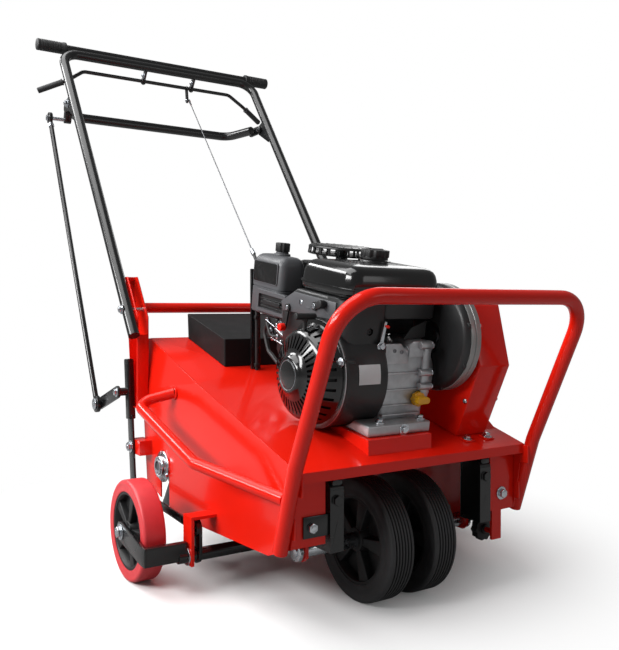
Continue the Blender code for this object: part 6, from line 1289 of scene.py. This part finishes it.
def buildReel():
    y, z, bore = reel["y"], reel["z"], reel["bore"]
    centre = 0, y, z
    u, radius, rim, outer = flange["face"], flange["radius"], flange["rim"], flange["face"] + flange["thick"]
    profile = [(u, bore), (u, radius), (u + 0.0022, radius), (u + 0.0036, radius - 0.0012),
        (u + 0.0042, radius - 0.005), (u + 0.005, rim), (outer - 0.004, rim - 0.001),
        (outer - 0.002, rim - 0.003), (outer - 0.002, 0.019), (outer - 0.0035, 0.018),
        (outer - 0.0035, 0.0165), (outer, 0.016), (outer, bore)]
    for side in (right, left):
        shapes = [spun([(side * x, r) for x, r in profile], "X", centre, 72)]
        for turn in (90, 210, 330):
            spot = polar(0.029, math.radians(turn), (y, z))
            shapes.append(hexHead((side * (u + 0.0034), *spot), (side, 0, 0), 0.0074, 0.0038, False))
        screw = capScrew((side * (u + 0.0085), y, z + rim - 0.0005), (0, 0, 1), 0.005, 0.0016)
        shapes.append((screw, "temperedSteel"))
        buildPiece("bearingFlange_" + sideWord[side], shapes, "zinc", ["bearing_flange_" + sideWord[side]])

    reach = outer - 0.002
    shapes = [drum(0.0124, -reach, reach, "X", centre, 0.0015, 48),
        chainWheel(drive["wheel"], 30, 0.0205, (y, z))]
    buildPiece("reelShaft", shapes, "steel", ["tine_shaft"], "tine_reel")

    step, half, r, tip = 2 * math.pi / reel["count"], reel["plateThick"] / 2, reel["tine"], reel["tip"]
    hole, end = reel["tineBore"], reel["ring"] / 2 + reel["sleeveEnd"]
    tube = [(0.044, 0.0), (0.044, r * 0.9), (0.046, r), (tip - 0.01, r), (tip, r - 0.0016), (tip, hole),
        (tip - 0.048, hole), (tip - 0.05, 0.0)]
    for index in range(3):
        middle = reel["first"] + reel["pitch"] * index
        shapes = [drum(reel["sleeve"], middle - end, middle + end, "X", centre, 0.0012, 56, bore)]
        for row in (0, 1):
            x = middle + (row - 0.5) * reel["ring"]

            def tine():
                return spun(tube, "Z", (x, 0, 0), 24)

            def clamp():
                heads = [hexHead((x + way * half, 0, 0.0545), (way, 0, 0), 0.01, 0.0045, False)
                    for way in (-1, 1)]
                return joined(*heads)

            start = step * (2 * index + row) / 6
            plate = drum(reel["plate"], x - half, x + half, "X", centre, 0.0012, 72, reel["sleeve"] - 0.001)
            shapes += [plate, rowRound(tine, reel["count"], "X", centre, start),
                (rowRound(clamp, reel["count"], "X", centre, start + step / 2), "brightZinc")]
        word = "_%d" % (index + 1)
        buildPiece("tineSpool" + word, shapes, "steel", ["tine_spool" + word], "tine_reel")


def chainWheel(radius, teeth, hub, centre):
    x = drive["chainX"]
    tooth = (-0.36, -0.0034), (-0.14, 0.0012), (0.14, 0.0012), (0.36, -0.0034)
    outline = [polar(radius + rise, 2 * math.pi * (i + share) / teeth, centre)
        for i in range(teeth) for share, rise in tooth]
    return joined(slab(outline, x - 0.0019, x + 0.0019, 0.0005, 1),
        pin(hub - 0.002, x - 0.0098, x + 0.0078, centre, 0.001, 40))


def loopRoute(first, firstRadius, second, secondRadius, count=0):
    dy, dz = second[0] - first[0], second[1] - first[1]
    base = math.atan2(dz, dy)
    spread = math.acos((firstRadius - secondRadius) / math.hypot(dy, dz))
    bows = [(first, firstRadius, base + spread, 2 * math.pi - 2 * spread),
        (second, secondRadius, base - spread, 2 * spread)]
    dense = [Vector(polar(radius, start + sweep * i / 60, centre))
        for centre, radius, start, sweep in bows for i in range(61)]
    dense.append(dense[0])
    lengths = [0.0]
    for a, b in zip(dense, dense[1:]):
        lengths.append(lengths[-1] + (b - a).length)
    count = count or 2 * round(lengths[-1] / drive["link"] / 2)
    route, at = [], 0
    for i in range(count):
        want = lengths[-1] * i / count
        while lengths[at + 1] < want:
            at += 1
        share = (want - lengths[at]) / max(lengths[at + 1] - lengths[at], 1e-9)
        route.append(dense[at].lerp(dense[at + 1], share))
    return route


def pulleyWheel(radius, centre):
    low = drive["beltX"] - drive["beltWidth"] / 2
    side = [(low - 0.004, 0), (low - 0.004, radius - 0.0006), (low - 0.0034, radius), (low - 0.001, radius),
        (low + 0.001, radius - 0.01)]
    return spun(mirrored(side, drive["beltX"]), "X", (0, *centre), 80)


def buildDrive():
    jack, gear, wheel, pivot = drive["jack"], drive["gear"], drive["idler"], drive["idlerPivot"]
    x, half = drive["beltX"], drive["beltWidth"] / 2
    shapes = [pin(0.0099, x - 0.034, 0.2463, jack, 0.001, 36),
        (pulleyWheel(drive["jackRadius"], jack), "dieCastAluminium"),
        chainWheel(drive["pinion"], 11, 0.0175, jack)]
    buildPiece("jackShaft", shapes, "steel", ["jackshaft"], "jackshaft")

    inner, outer = [loopRoute(gear, drive["gearRadius"] - deep, jack, drive["jackRadius"] - deep, 160)
        for deep in (0.0096, 0.0028)]
    wide = half - 0.0022
    shape = bmesh.new()
    rings = []
    for a, b in zip(inner, outer):
        corners = ((x - wide + 0.0012, *a), (x + wide - 0.0012, *a), (x + wide, *b), (x - wide, *b))
        rings.append([shape.verts.new(co) for co in corners])
    for i, ring in enumerate(rings):
        after = rings[(i + 1) % len(rings)]
        for k in range(4):
            shape.faces.new((ring[k], ring[(k + 1) % 4], after[(k + 1) % 4], after[k]))
    buildPiece("driveBelt", [(finishShape(shape), "tyreRubber")], "rubber", ["drive_belt"])

    route = loopRoute(jack, drive["pinion"] + 0.0048, (reel["y"], reel["z"]), drive["wheel"] + 0.0048)
    middle, shapes = drive["chainX"], []
    for i, here in enumerate(route):
        after = route[(i + 1) % len(route)]
        gap = 0.0022 if i % 2 else 0.0014
        shapes.append((pin(0.00225, middle - 0.0029, middle + 0.0029, here, 0.0, 14), "oiledSteel"))
        for low in (middle - gap - 0.0007, middle + gap):
            shapes.append((slab(strap(here, after, 0.00235, 5), low, low + 0.0007), "oiledSteel"))
    buildPiece("rollerChain", shapes, "steel", ["drive_chain"])

    low, high = x - half, x + half
    arm = slab(strap(pivot, wheel, 0.0088), low - 0.0109, low - 0.0061, 0.0008)
    shapes = [carved(arm, pin(0.0054, low - 0.021, low + 0.009, pivot, 0.0, 32)),
        pin(0.0049, low - 0.009, high + 0.0058, wheel, 0.0008, 28)]
    buildPiece("idlerArm", shapes, "steel", ["idler_arm"], "idler_arm")

    radius = drive["idlerRadius"]
    side = [(low, 0.0054), (low, radius), (low + 0.001, radius), (low + 0.0016, radius - 0.0016)]
    buildPiece("idlerPulley", [spun(mirrored(side, x), "X", (0, *wheel), 60)], "zinc", ["idler_pulley"],
        "idler_pulley")


dressKept()
buildMount()
buildCover()
buildFront()
buildReel()
buildDrive()
print("sheet metal, reel and drive done")
